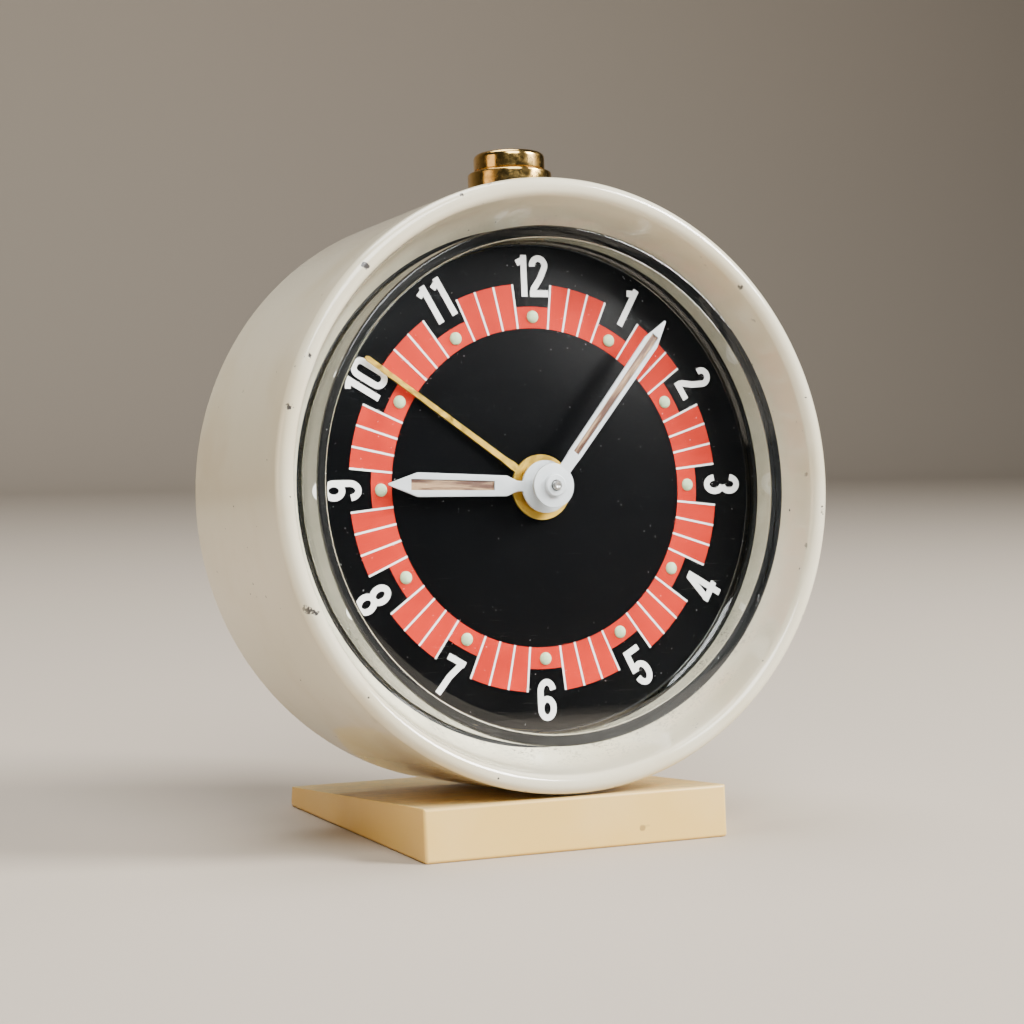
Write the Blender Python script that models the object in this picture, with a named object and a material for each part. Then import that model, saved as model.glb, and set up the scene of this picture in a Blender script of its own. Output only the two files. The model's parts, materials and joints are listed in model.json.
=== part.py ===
"""A wind-up table alarm clock: an enamelled drum on a wedge foot, with its whole movement inside.

Everything but the foot is built in the drum's own frame, an empty at the centre of the front lip:
+X to the right, +Y up across the dial and +Z out through the crystal. Depths are measured back
from the lip. The foot stands on the ground plane, with the origin at the centre of its underside.
"""
import math

import bmesh
import bpy

TAU = 2.0 * math.pi
PLAY = 0.0003  # space left between pieces that touch, so that no two solids share a face

# Foot: a wedge whose top is parallel to the drum's axis
TILT = math.radians(5.0)
FOOT_WIDTH = 0.0466
FOOT_DEPTH = 0.0508
FOOT_FRONT_HEIGHT = 0.0074
FOOT_EDGE = 0.0003
FOOT_NOSE = 0.0008  # the foot's top front edge stands this far ahead of the lip's plane
FOOT_SCREW_SPACING = 0.012
FOOT_SCREW_DEPTH = 0.0190
FOOT_SCREW_BITE = 0.0030

# Drum
DRUM_RADIUS = 0.0425
DRUM_LENGTH = 0.0324
SHELL_THICKNESS = 0.0008
LIP_ROUND = 0.00135
FUNNEL_WIDTH = 0.0060  # from the drum's side in to the edge of the funnel
FUNNEL_DEPTH = 0.0076

# Crystal, its seat and the dial
CRYSTAL_CLEARANCE = 0.0008
CRYSTAL_WALL = 0.0011
CRYSTAL_DOME = 0.0007
CRYSTAL_FRONT = 0.0012
FLANGE_WIDTH = 0.0020
FLANGE_THICKNESS = 0.0008
DIAL_DEPTH = 0.0084
DIAL_THICKNESS = 0.0004
DIAL_CLEARANCE = 0.0004
DIAL_FOOT_RADIUS = 0.0008

# Movement frame
MOTION_WORK_SPACE = 0.0036
PLATE_THICKNESS = 0.0010
FRONT_PLATE_CLEARANCE = 0.0032
BACK_PLATE_INSET = 0.0040
PILLAR_RADIUS = 0.0018
PILLAR_INSET = 0.0035
PILLAR_ANGLES = (30.0, 90.0, 150.0, 245.0)
PIVOT_RADIUS = 0.0004
ARBOR_RADIUS = 0.0005
PIVOT_PLAY = 0.0003
BELL_SPACE = 0.0038
COVER_RECESS = 0.0004
COVER_THICKNESS = 0.0008
COVER_SCREW_ANGLES = (30.0, 150.0, 245.0)
SCREW_RADIUS = 0.0009
SCREW_HEAD_RADIUS = 0.0018
SCREW_HEAD_HEIGHT = 0.0008

# Going train: teeth of each wheel and of the pinion that it drives, and each wheel's pitch radius
WHEEL_THICKNESS = 0.0006
GREAT_TEETH, GREAT_PITCH = 60, 0.0154
CENTRE_PINION_TEETH = 8
CENTRE_TEETH, CENTRE_PITCH = 64, 0.0108
THIRD_PINION_TEETH = 8
THIRD_TEETH, THIRD_PITCH = 60, 0.0075
FOURTH_PINION_TEETH = 8
FOURTH_TEETH, FOURTH_PITCH = 48, 0.0072
ESCAPE_PINION_TEETH = 6
ESCAPE_TEETH, ESCAPE_RADIUS = 15, 0.0046
GREAT_BEARING = 203.6  # degrees round from +X, from the centre arbor to the time winding arbor
THIRD_BEARING = 140.0
FOURTH_BEARING = 60.0
ESCAPE_BEARING = 5.0
PALLET_DISTANCE = 0.0060
PALLET_REACH = 0.0040  # from the escape wheel's edge round to the pallet tips
BALANCE_RADIUS = 0.0070
BALANCE_CLEARANCE = 0.0008  # from the balance rim to the pallet arbor
REGULATOR_REACH = 0.0070
REGULATOR_SWING = 25.0

# Alarm train
ALARM_GREAT_TEETH, ALARM_GREAT_PITCH = 54, 0.0124
ALARM_PINION_TEETH = 8
ALARM_ESCAPE_TEETH, ALARM_ESCAPE_RADIUS = 12, 0.0046
ALARM_GREAT_BEARING = 336.4
ALARM_ESCAPE_BEARING = 235.0
HAMMER_DISTANCE = 0.0063
HAMMER_BEARING = 190.0
HAMMER_ARM = 0.0050
HAMMER_HEAD_RADIUS = 0.0012
HAMMER_GAP = 0.0008
BELL_RADIUS = 0.0090
BELL_WALL = 0.0006
BELL_CENTRE = (0.0095, -0.0275)

# Motion work behind the dial, and the alarm setting wheels
CANNON_TEETH, MINUTE_WHEEL_TEETH = 12, 36
MINUTE_PINION_TEETH, HOUR_WHEEL_TEETH = 12, 48
MOTION_DISTANCE = 0.0084
MOTION_BEARING = 60.0
ALARM_WHEEL_TEETH, ALARM_SET_TEETH = 48, 12
ALARM_SET_DISTANCE = 0.0140
ALARM_SET_BEARING = 270.0

# Springs, ratchets and clicks
SPRING_STRIP = 0.0005
SPRING_TURNS = 4
SPRING_HUB = 0.0022
SPRING_RADIUS = 0.81 * GREAT_PITCH
RATCHET_RADIUS = 0.0045
RATCHET_TEETH = 12
CLICK_DISTANCE = 0.0082

# Arbors, hands, keys and knobs
WINDING_ARBOR_RADIUS = 0.0013
CENTRE_PINION_ROOT = 0.7 * GREAT_PITCH * CENTRE_PINION_TEETH / GREAT_TEETH
CENTRE_ARBOR_RADIUS = 0.45 * CENTRE_PINION_ROOT  # runs inside the centre pinion's sleeve
CANNON_RADIUS = 0.0014
HOUR_PIPE_RADIUS = 0.0022
ALARM_PIPE_RADIUS = 0.0030
SLEEVE_WALL = 0.0003
HAND_THICKNESS = 0.0004
HAND_SPACE = DIAL_DEPTH - CRYSTAL_FRONT - CRYSTAL_WALL
ALARM_HAND_RISE, HOUR_HAND_RISE = 0.082 * HAND_SPACE, 0.328 * HAND_SPACE  # above the dial
MINUTE_HAND_RISE, ARBOR_TIP_RISE = 0.721 * HAND_SPACE, 0.96 * HAND_SPACE
MINUTE_COLLAR = 0.0006
MINUTE_HAND_LENGTH, MINUTE_HUB_RADIUS, MINUTE_HAND_ANGLE = 0.0300, 0.0031, 39.1
HOUR_HAND_LENGTH, HOUR_HUB_RADIUS, HOUR_HAND_ANGLE = 0.0240, 0.0037, 271.6
ALARM_HAND_LENGTH, ALARM_HUB_RADIUS, ALARM_HAND_ANGLE = 0.0318, 0.0046, 305.0
KEY_HUB_RADIUS = 0.0028
KEY_HUB_LENGTH = 0.0040
KEY_BOW_WIDTH = 0.0200
KEY_BOW_LENGTH = 0.0085
KEY_BOW_THICKNESS = 0.0016
SET_KNOB_RADIUS = 0.0042
ALARM_KNOB_RADIUS = 0.0035
KNOB_LENGTH = 0.0050
KNOB_STANDOFF = 0.0010
SEAT_SHARE = 0.6  # of a knob's length that its arbor reaches into

# Alarm stop button on top of the drum
BUTTON_DEPTH = 0.0136
BUTTON_RADIUS = 0.0051
BUTTON_HEIGHT = 0.0030
BUTTON_TRAVEL = 0.0015
BUTTON_ROUND = 0.0008
BUTTON_WALL = 0.0010
BUTTON_SOCKET = 0.0018
COLLAR_WALL = 0.0006
COLLAR_HEIGHT = 0.0029
PLUNGER_RADIUS = 0.0009
BUTTON_SPRING_WIRE = 0.0003

# Places along the drum that follow from the sizes above
SHELL_INSIDE = DRUM_RADIUS - SHELL_THICKNESS
FUNNEL_RADIUS = DRUM_RADIUS - FUNNEL_WIDTH
CRYSTAL_RADIUS = FUNNEL_RADIUS - CRYSTAL_CLEARANCE
DIAL_RADIUS = CRYSTAL_RADIUS - CRYSTAL_WALL - DIAL_CLEARANCE
FLANGE_FRONT = FUNNEL_DEPTH + SHELL_THICKNESS
FLANGE_BACK = FLANGE_FRONT + FLANGE_THICKNESS
DIAL_BACK = DIAL_DEPTH + DIAL_THICKNESS
FRONT_PLATE_FACE = DIAL_BACK + MOTION_WORK_SPACE
FRONT_PLATE_BACK = FRONT_PLATE_FACE + PLATE_THICKNESS
COVER_BACK = DRUM_LENGTH - COVER_RECESS
COVER_FACE = COVER_BACK - COVER_THICKNESS
BACK_PLATE_BACK = COVER_FACE - BELL_SPACE
BACK_PLATE_FACE = BACK_PLATE_BACK - PLATE_THICKNESS
FRONT_PLATE_RADIUS = SHELL_INSIDE - FRONT_PLATE_CLEARANCE
BACK_PLATE_RADIUS = FRONT_PLATE_RADIUS - BACK_PLATE_INSET
PILLAR_CIRCLE = BACK_PLATE_RADIUS - PILLAR_INSET
KNOB_FACE = DRUM_LENGTH + KNOB_STANDOFF

# Wheel planes, from the front of each wheel, counted forward from the back plate
CENTRE_WHEEL_FACE = BACK_PLATE_FACE - 0.0022
THIRD_WHEEL_FACE = BACK_PLATE_FACE - 0.0034
RATCHET_FACE = BACK_PLATE_FACE - 0.0042
GREAT_WHEEL_FACE = BACK_PLATE_FACE - 0.0054
FOURTH_WHEEL_FACE = BACK_PLATE_FACE - 0.0074
ESCAPE_WHEEL_FACE = BACK_PLATE_FACE - 0.0058
BALANCE_FACE = BACK_PLATE_FACE - 0.0036
HAIRSPRING_FACE = BACK_PLATE_FACE - 0.0018
ALARM_ESCAPE_FACE = BACK_PLATE_FACE - 0.0030
SPRING_FACE = FRONT_PLATE_BACK + 0.0006
SPRING_BACK = GREAT_WHEEL_FACE - 0.0006


def polar(start, distance, bearing):
    """Return the point at a distance and a bearing in degrees from another point."""
    angle = math.radians(bearing)
    return (start[0] + distance * math.cos(angle), start[1] + distance * math.sin(angle))


def meshing_distance(pitch, teeth, mate_teeth):
    """Return the distance between a wheel's axis and that of the pinion it drives."""
    return pitch * (teeth + mate_teeth) / teeth


CENTRE = (0.0, 0.0)
GREAT_AXIS = polar(CENTRE, meshing_distance(GREAT_PITCH, GREAT_TEETH, CENTRE_PINION_TEETH),
                   GREAT_BEARING)
THIRD_AXIS = polar(CENTRE, meshing_distance(CENTRE_PITCH, CENTRE_TEETH, THIRD_PINION_TEETH),
                   THIRD_BEARING)
FOURTH_AXIS = polar(THIRD_AXIS, meshing_distance(THIRD_PITCH, THIRD_TEETH, FOURTH_PINION_TEETH),
                    FOURTH_BEARING)
ESCAPE_AXIS = polar(FOURTH_AXIS,
                    meshing_distance(FOURTH_PITCH, FOURTH_TEETH, ESCAPE_PINION_TEETH),
                    ESCAPE_BEARING)
PALLET_AXIS = polar(ESCAPE_AXIS, PALLET_DISTANCE, 0.0)
BALANCE_DISTANCE = BALANCE_RADIUS + BALANCE_CLEARANCE + ARBOR_RADIUS
BALANCE_AXIS = polar(PALLET_AXIS, BALANCE_DISTANCE, 0.0)
ALARM_GREAT_AXIS = (-GREAT_AXIS[0], GREAT_AXIS[1])
ALARM_ESCAPE_AXIS = polar(
    ALARM_GREAT_AXIS,
    meshing_distance(ALARM_GREAT_PITCH, ALARM_GREAT_TEETH, ALARM_PINION_TEETH),
    ALARM_ESCAPE_BEARING)
HAMMER_AXIS = polar(ALARM_ESCAPE_AXIS, HAMMER_DISTANCE, HAMMER_BEARING)
MINUTE_WHEEL_AXIS = polar(CENTRE, MOTION_DISTANCE, MOTION_BEARING)
ALARM_SET_AXIS = polar(CENTRE, ALARM_SET_DISTANCE, ALARM_SET_BEARING)

# Finish: colour, roughness, metallic
FINISHES = {
    "ivory_enamel": ((0.78, 0.73, 0.62), 0.18, 0.0),
    "cream_plastic": ((0.86, 0.74, 0.48), 0.45, 0.0),
    "clear_acrylic": ((0.95, 0.97, 0.97), 0.03, 0.0),
    "black_rubber": ((0.02, 0.02, 0.02), 0.60, 0.0),
    "black_dial_lacquer": ((0.015, 0.017, 0.020), 0.40, 0.0),
    "white_hand_lacquer": ((0.90, 0.90, 0.88), 0.35, 0.0),
    "polished_brass": ((0.80, 0.58, 0.24), 0.18, 1.0),
    "plate_brass": ((0.66, 0.52, 0.27), 0.35, 1.0),
    "bright_steel": ((0.62, 0.62, 0.62), 0.28, 1.0),
    "blued_spring_steel": ((0.10, 0.12, 0.18), 0.30, 1.0),
    "bell_steel": ((0.55, 0.55, 0.56), 0.22, 1.0),
    "black_plastic": ((0.03, 0.03, 0.03), 0.40, 0.0),
}


def finish(name):
    """Return the named material, made the first time it is asked for."""
    material = bpy.data.materials.get(name)
    if material is None:
        colour, roughness, metallic = FINISHES[name]
        material = bpy.data.materials.new(name)
        material.use_nodes = True
        shader = material.node_tree.nodes["Principled BSDF"]
        shader.inputs["Base Color"].default_value = (*colour, 1.0)
        shader.inputs["Roughness"].default_value = roughness
        shader.inputs["Metallic"].default_value = metallic
    return material


def clear_scene():
    """Remove every object, mesh and material left in the file."""
    for thing in list(bpy.data.objects):
        bpy.data.objects.remove(thing, do_unlink=True)
    for store in (bpy.data.meshes, bpy.data.curves, bpy.data.materials):
        for block in list(store):
            store.remove(block)


def add_empty(name, location, rotation=(0.0, 0.0, 0.0), parent=None):
    """Add an empty that carries a frame or a joint's axis."""
    empty = bpy.data.objects.new(name, None)
    empty.empty_display_size = 0.01
    empty.location = location
    empty.rotation_euler = rotation
    empty.parent = parent
    bpy.context.scene.collection.objects.link(empty)
    return empty


def add_piece(name, shape, material, parent, location=(0.0, 0.0, 0.0), turn=0.0):
    """Turn a closed bmesh into a named object and shade its round faces smooth."""
    bmesh.ops.recalc_face_normals(shape, faces=shape.faces)
    mesh = bpy.data.meshes.new(name)
    shape.to_mesh(mesh)
    shape.free()
    mesh.shade_smooth()
    mesh.set_sharp_from_angle(angle=math.radians(35.0))
    mesh.materials.append(finish(material))
    piece = bpy.data.objects.new(name, mesh)
    piece.parent = parent
    piece.location = location
    piece.rotation_euler = (0.0, 0.0, turn)
    bpy.context.scene.collection.objects.link(piece)
    return piece


def circle(radius, points=24, centre=(0.0, 0.0), turn=0.0):
    """Return a round outline."""
    angles = [turn + TAU * step / points for step in range(points)]
    return [(centre[0] + radius * math.cos(a), centre[1] + radius * math.sin(a)) for a in angles]


def moved(outline, centre):
    """Return an outline shifted to another centre."""
    return [(x + centre[0], y + centre[1]) for x, y in outline]


def turned_outline(outline, angle):
    """Return an outline turned about its origin."""
    cos, sin = math.cos(angle), math.sin(angle)
    return [(x * cos - y * sin, x * sin + y * cos) for x, y in outline]


def tooth_height(pitch, teeth):
    """Return the height of a tooth: twice its module."""
    return 4.0 * pitch / teeth


def wheel_outline(pitch, teeth, phase=0.0):
    """Return a wheel with pointed teeth, three tenths of them outside the pitch circle."""
    height = tooth_height(pitch, teeth)
    outline = []
    for tooth in range(teeth):
        angle = phase + TAU * tooth / teeth
        for shift, radius in ((0.0, pitch + 0.3 * height), (0.5, pitch - 0.7 * height)):
            outline.append(polar(CENTRE, radius, math.degrees(angle + shift * TAU / teeth)))
    return outline


def pinion_outline(pitch, teeth, phase=0.0):
    """Return a pinion with slender flat-topped leaves."""
    height = tooth_height(pitch, teeth)
    profile = ((-0.08, 0.25), (0.08, 0.25), (0.20, -0.60), (0.80, -0.60))
    outline = []
    for leaf in range(teeth):
        for shift, rise in profile:
            angle = phase + TAU * (leaf + shift) / teeth
            outline.append(polar(CENTRE, pitch + rise * height, math.degrees(angle)))
    return outline


def saw_outline(radius, teeth, height, phase=0.0):
    """Return a ratchet or escape wheel with raked teeth."""
    outline = []
    for tooth in range(teeth):
        for shift, rise in ((0.0, 0.0), (0.12, -height), (0.75, -height)):
            angle = phase + TAU * (tooth + shift) / teeth
            outline.append(polar(CENTRE, radius + rise, math.degrees(angle)))
    return outline


def mating_phase(bearing, teeth, mate_teeth):
    """Return the turn that sets a mate's gaps on the teeth of a wheel whose phase is nought."""
    direction = math.radians(bearing)
    passed = direction * teeth / TAU
    return direction + math.pi - (0.5 - passed) * TAU / mate_teeth


def pitch_of_mate(pitch, teeth, mate_teeth):
    """Return the pitch radius of the pinion that a wheel drives."""
    return pitch * mate_teeth / teeth


def layered(name, material, layers, parent, pivot=CENTRE, turn=0.0):
    """Build one solid from closed outlines stacked along the axis.

    Args:
        layers: (front depth, back depth, outlines) from front to back, each meeting the next. An
            outline inside another one is a hole in it. Outlines kept in the next layer run on.
    """
    shape = bmesh.new()
    rings = {}

    def ring(outline, depth):
        key = (id(outline), round(depth, 8))
        if key not in rings:
            verts = [shape.verts.new((x, y, -depth)) for x, y in outline]
            edges = [shape.edges.new((verts[i - 1], verts[i])) for i in range(len(verts))]
            rings[key] = (verts, edges)
        return rings[key]

    for front, back, outlines in layers:
        for outline in outlines:
            near, far = ring(outline, front)[0], ring(outline, back)[0]
            for i in range(len(near)):
                shape.faces.new((near[i - 1], near[i], far[i], far[i - 1]))
    depths = [layers[0][0]] + [layer[1] for layer in layers]
    stacks = [[]] + [layer[2] for layer in layers] + [[]]
    for depth, before, after in zip(depths, stacks, stacks[1:]):
        ends = [one for one in before if not any(one is other for other in after)]
        starts = [one for one in after if not any(one is other for other in before)]
        edges = [edge for outline in ends + starts for edge in ring(outline, depth)[1]]
        bmesh.ops.triangle_fill(shape, use_beauty=True, edges=edges, normal=(0.0, 0.0, 1.0))
    return add_piece(name, shape, material, parent, (pivot[0], pivot[1], 0.0), turn)


def lathe(name, material, profile, parent, location=(0.0, 0.0, 0.0), segments=24, closed=True):
    """Spin a profile of (radius, height) points about the local Z axis.

    A closed profile makes a ring; an open one starts and ends on the axis.
    """
    shape = bmesh.new()
    verts = [shape.verts.new((radius, 0.0, height)) for radius, height in profile]
    edges = [shape.edges.new(pair) for pair in zip(verts, verts[1:])]
    if closed:
        edges.append(shape.edges.new((verts[-1], verts[0])))
    bmesh.ops.spin(shape, geom=verts + edges, cent=(0.0, 0.0, 0.0), axis=(0.0, 0.0, 1.0),
                   angle=TAU, steps=segments, use_merge=True)
    bmesh.ops.remove_doubles(shape, verts=shape.verts, dist=1e-7)
    return add_piece(name, shape, material, parent, location)


def prism(name, material, outline, half_width, parent, location=(0.0, 0.0, 0.0), axis="X"):
    """Extrude an outline both ways along X (outline in Y, Z) or along Y (outline in X, Z)."""
    shape = bmesh.new()
    sides = []
    for along in (-half_width, half_width):
        points = [(along, u, v) if axis == "X" else (u, along, v) for u, v in outline]
        sides.append([shape.verts.new(point) for point in points])
    near, far = sides
    for i in range(len(near)):
        shape.faces.new((near[i - 1], near[i], far[i], far[i - 1]))
    shape.faces.new(near)
    shape.faces.new(far)
    return add_piece(name, shape, material, parent, location)


def arc(centre, radius, start, end, steps):
    """Return points along an arc between two bearings in degrees."""
    return [polar(centre, radius, start + (end - start) * step / steps)
            for step in range(steps + 1)]


def use_as_tool(body, tool, operation):
    """Cut or join a helper solid with a piece and leave the helper out of the model."""
    tool.hide_render = True
    tool.display_type = "WIRE"
    step = body.modifiers.new(operation.lower(), "BOOLEAN")
    step.operation = operation
    step.object = tool
    step.solver = "EXACT"


def bore_tool(name, radius, bottom, top, parent, location, points=16):
    """Make a round cutter along a frame's local Z axis."""
    return lathe(name, "bright_steel", [(0.0, bottom), (radius, bottom), (radius, top), (0.0, top)],
                 parent, location, points, closed=False)


# Case -----------------------------------------------------------------------------------------

def foot_frame_points():
    """Return the foot's side outline (Y, Z), with the origin under its middle."""
    front = -FOOT_DEPTH / 2.0
    rear = FOOT_DEPTH / 2.0
    lean = math.tan(TILT)
    top_front = (front + FOOT_FRONT_HEIGHT * lean, FOOT_FRONT_HEIGHT)
    length = (rear - front - FOOT_FRONT_HEIGHT * lean) * math.cos(TILT)
    top_rear = (top_front[0] + length * math.cos(TILT), top_front[1] - length * math.sin(TILT))
    return [(front, 0.0), (rear, 0.0), top_rear, top_front]


def lip_centre():
    """Return the centre of the drum's lip in the foot's frame."""
    top_front = foot_frame_points()[-1]
    along = (math.cos(TILT), -math.sin(TILT))
    up = (math.sin(TILT), math.cos(TILT))
    rise = DRUM_RADIUS + PLAY
    return (0.0, top_front[0] + FOOT_NOSE * along[0] + rise * up[0],
            top_front[1] + FOOT_NOSE * along[1] + rise * up[1])


def foot_screw_places():
    """Return the drum depth of each foot screw."""
    half = FOOT_SCREW_SPACING / 2.0
    return (FOOT_SCREW_DEPTH - half, FOOT_SCREW_DEPTH + half)


def make_foot(drum):
    """Make the wedge foot, with a blind bore for each screw that comes down out of the drum."""
    foot = prism("foot_base", "cream_plastic", foot_frame_points(), FOOT_WIDTH / 2.0, None)
    edge = foot.modifiers.new("edge", "BEVEL")
    edge.width = FOOT_EDGE
    edge.segments = 1
    for number, depth in enumerate(foot_screw_places(), 1):
        top = add_empty(f"foot_screw_frame_{number}", (0.0, -DRUM_RADIUS, -depth),
                        (math.radians(-90.0), 0.0, 0.0), drum)
        bore = bore_tool(f"foot_bore_{number}", SCREW_RADIUS + PLAY, -FOOT_SCREW_BITE - 2.0 * PLAY,
                         SHELL_THICKNESS / 2.0, top, (0.0, 0.0, 0.0))
        use_as_tool(foot, bore, "DIFFERENCE")
        floor = SHELL_THICKNESS + PLAY
        head = floor + SCREW_HEAD_HEIGHT
        lathe(f"foot_screw_{number}", "bright_steel",
              [(0.0, -FOOT_SCREW_BITE), (SCREW_RADIUS, -FOOT_SCREW_BITE), (SCREW_RADIUS, floor),
               (SCREW_HEAD_RADIUS, floor), (SCREW_HEAD_RADIUS, head), (0.0, head)],
              top, segments=16, closed=False)


def make_case_shell(drum):
    """Make the drum: a rolled lip in front, and a funnel that runs in to the crystal."""
    round_centre = (DRUM_RADIUS - LIP_ROUND, 0.0)
    lip = arc(round_centre, LIP_ROUND, 0.0, 180.0, 6)
    back = -DRUM_LENGTH
    outside = [(DRUM_RADIUS, back)] + lip + [(FUNNEL_RADIUS, -FUNNEL_DEPTH)]
    inside = [(FUNNEL_RADIUS + SHELL_THICKNESS, -FUNNEL_DEPTH),
              (round_centre[0] - LIP_ROUND + SHELL_THICKNESS, -SHELL_THICKNESS),
              (SHELL_INSIDE, -2.0 * SHELL_THICKNESS), (SHELL_INSIDE, back)]
    shell = lathe("case_shell", "ivory_enamel", outside + inside, drum, segments=48)
    button = bore_tool("button_hole", PLUNGER_RADIUS + PLAY, -3.0 * SHELL_THICKNESS,
                       SHELL_THICKNESS, drum.children[0], (0.0, 0.0, 0.0))
    use_as_tool(shell, button, "DIFFERENCE")
    for number, depth in enumerate(foot_screw_places(), 1):
        frame = bpy.data.objects[f"foot_screw_frame_{number}"]
        hole = bore_tool(f"shell_hole_{number}", SCREW_RADIUS + PLAY, -SHELL_THICKNESS,
                         3.0 * SHELL_THICKNESS, frame, (0.0, 0.0, 0.0))
        use_as_tool(shell, hole, "DIFFERENCE")


def dome(radius, depth, steps):
    """Return profile points of a shallow dome, from its centre out to a radius."""
    points = []
    for step in range(steps + 1):
        share = step / steps
        points.append((radius * share, -depth + CRYSTAL_DOME * (1.0 - share * share)))
    return points


def make_crystal(drum):
    """Make the clear cup over the dial, held by a flange behind the funnel's edge."""
    inner = CRYSTAL_RADIUS - CRYSTAL_WALL
    flange = CRYSTAL_RADIUS + FLANGE_WIDTH
    face = dome(CRYSTAL_RADIUS, CRYSTAL_FRONT, 3)
    under = dome(inner, CRYSTAL_FRONT + CRYSTAL_WALL, 3)
    rim = [(CRYSTAL_RADIUS, -FLANGE_FRONT), (flange, -FLANGE_FRONT), (flange, -FLANGE_BACK),
           (inner, -FLANGE_BACK)]
    lathe("crystal", "clear_acrylic", face + rim + under[::-1], drum, segments=36, closed=False)


def make_crystal_seat(drum):
    """Make the black ring that presses the crystal forward from the front plate."""
    inner = CRYSTAL_RADIUS - CRYSTAL_WALL
    outer = CRYSTAL_RADIUS + FLANGE_WIDTH
    layered("crystal_seat", "black_rubber",
            [(FLANGE_BACK + PLAY, FRONT_PLATE_FACE - PLAY, [circle(outer, 36), circle(inner, 36)])],
            drum)


def dial_foot_places():
    """Return the centres of the two feet that hold the dial on the front plate."""
    reach = FRONT_PLATE_RADIUS * 0.62
    return (polar(CENTRE, reach, 100.0), polar(CENTRE, reach, 280.0))


def make_dial(drum):
    """Make the dial plate with its two feet."""
    hole = circle(ALARM_PIPE_RADIUS + PLAY, 16)
    feet = [circle(DIAL_FOOT_RADIUS, 10, place) for place in dial_foot_places()]
    layered("dial_plate", "black_dial_lacquer",
            [(DIAL_DEPTH, DIAL_BACK, [circle(DIAL_RADIUS, 40), hole]),
             (DIAL_BACK, FRONT_PLATE_BACK - PLAY, feet)], drum)


# Movement frame -------------------------------------------------------------------------------

def pivot_hole(place, radius=PIVOT_RADIUS, points=8):
    """Return the outline of a bearing hole round an arbor of the given radius."""
    return circle(radius + PIVOT_PLAY, points, place)


def pillar_places():
    """Return the centres of the movement's pillars."""
    return [polar(CENTRE, PILLAR_CIRCLE, bearing) for bearing in PILLAR_ANGLES]


def make_plates(drum):
    """Make both plates, drilled for every arbor that turns in them."""
    pivots = [THIRD_AXIS, FOURTH_AXIS, ESCAPE_AXIS, PALLET_AXIS, BALANCE_AXIS, ALARM_ESCAPE_AXIS,
              HAMMER_AXIS]
    common = [pivot_hole(place) for place in pivots]
    common += [pivot_hole(place, SCREW_RADIUS) for place in pillar_places()]
    common.append(pivot_hole(ALARM_SET_AXIS, PIVOT_RADIUS))
    front = common + [pivot_hole(GREAT_AXIS), pivot_hole(ALARM_GREAT_AXIS),
                      pivot_hole(CENTRE, CENTRE_ARBOR_RADIUS)]
    front += [circle(DIAL_FOOT_RADIUS + PLAY, 10, place) for place in dial_foot_places()]
    stud = circle(PIVOT_RADIUS, 10, MINUTE_WHEEL_AXIS)
    stud_top = FRONT_PLATE_FACE - MOTION_WORK_SPACE / 2.0
    layered("front_plate", "plate_brass",
            [(stud_top, FRONT_PLATE_FACE, [stud]),
             (FRONT_PLATE_FACE, FRONT_PLATE_BACK, [circle(FRONT_PLATE_RADIUS, 40)] + front)], drum)
    back = common + [pivot_hole(GREAT_AXIS, WINDING_ARBOR_RADIUS),
                     pivot_hole(ALARM_GREAT_AXIS, WINDING_ARBOR_RADIUS),
                     pivot_hole(CENTRE, CENTRE_ARBOR_RADIUS)]
    layered("back_plate", "plate_brass",
            [(BACK_PLATE_FACE, BACK_PLATE_BACK, [circle(BACK_PLATE_RADIUS, 40)] + back)], drum)


def make_pillars(drum):
    """Make the pillars between the plates and the long nuts that hold the back plate on them."""
    for number, place in enumerate(pillar_places(), 1):
        body, tenon = circle(PILLAR_RADIUS, 12), circle(SCREW_RADIUS, 12)
        end = BACK_PLATE_BACK + BELL_SPACE / 3.0
        layered(f"pillar_{number}", "bright_steel",
                [(FRONT_PLATE_FACE + PLAY, FRONT_PLATE_BACK + PLAY, [tenon]),
                 (FRONT_PLATE_BACK + PLAY, BACK_PLATE_FACE - PLAY, [body]),
                 (BACK_PLATE_FACE - PLAY, end, [tenon])], drum, place)
        layered(f"pillar_nut_{number}", "bright_steel",
                [(BACK_PLATE_BACK + PLAY, COVER_FACE - PLAY,
                  [circle(PILLAR_RADIUS + PLAY, 6), circle(SCREW_RADIUS + PLAY, 12)])], drum, place)


def regulator_slot():
    """Return the curved slot that the regulator's pin moves along."""
    half = PIVOT_RADIUS + PLAY
    swing = REGULATOR_SWING + math.degrees(half / REGULATOR_REACH)
    outer = arc(BALANCE_AXIS, REGULATOR_REACH + half, 90.0 - swing, 90.0 + swing, 8)
    inner = arc(BALANCE_AXIS, REGULATOR_REACH - half, 90.0 + swing, 90.0 - swing, 8)
    return outer + inner


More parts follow.
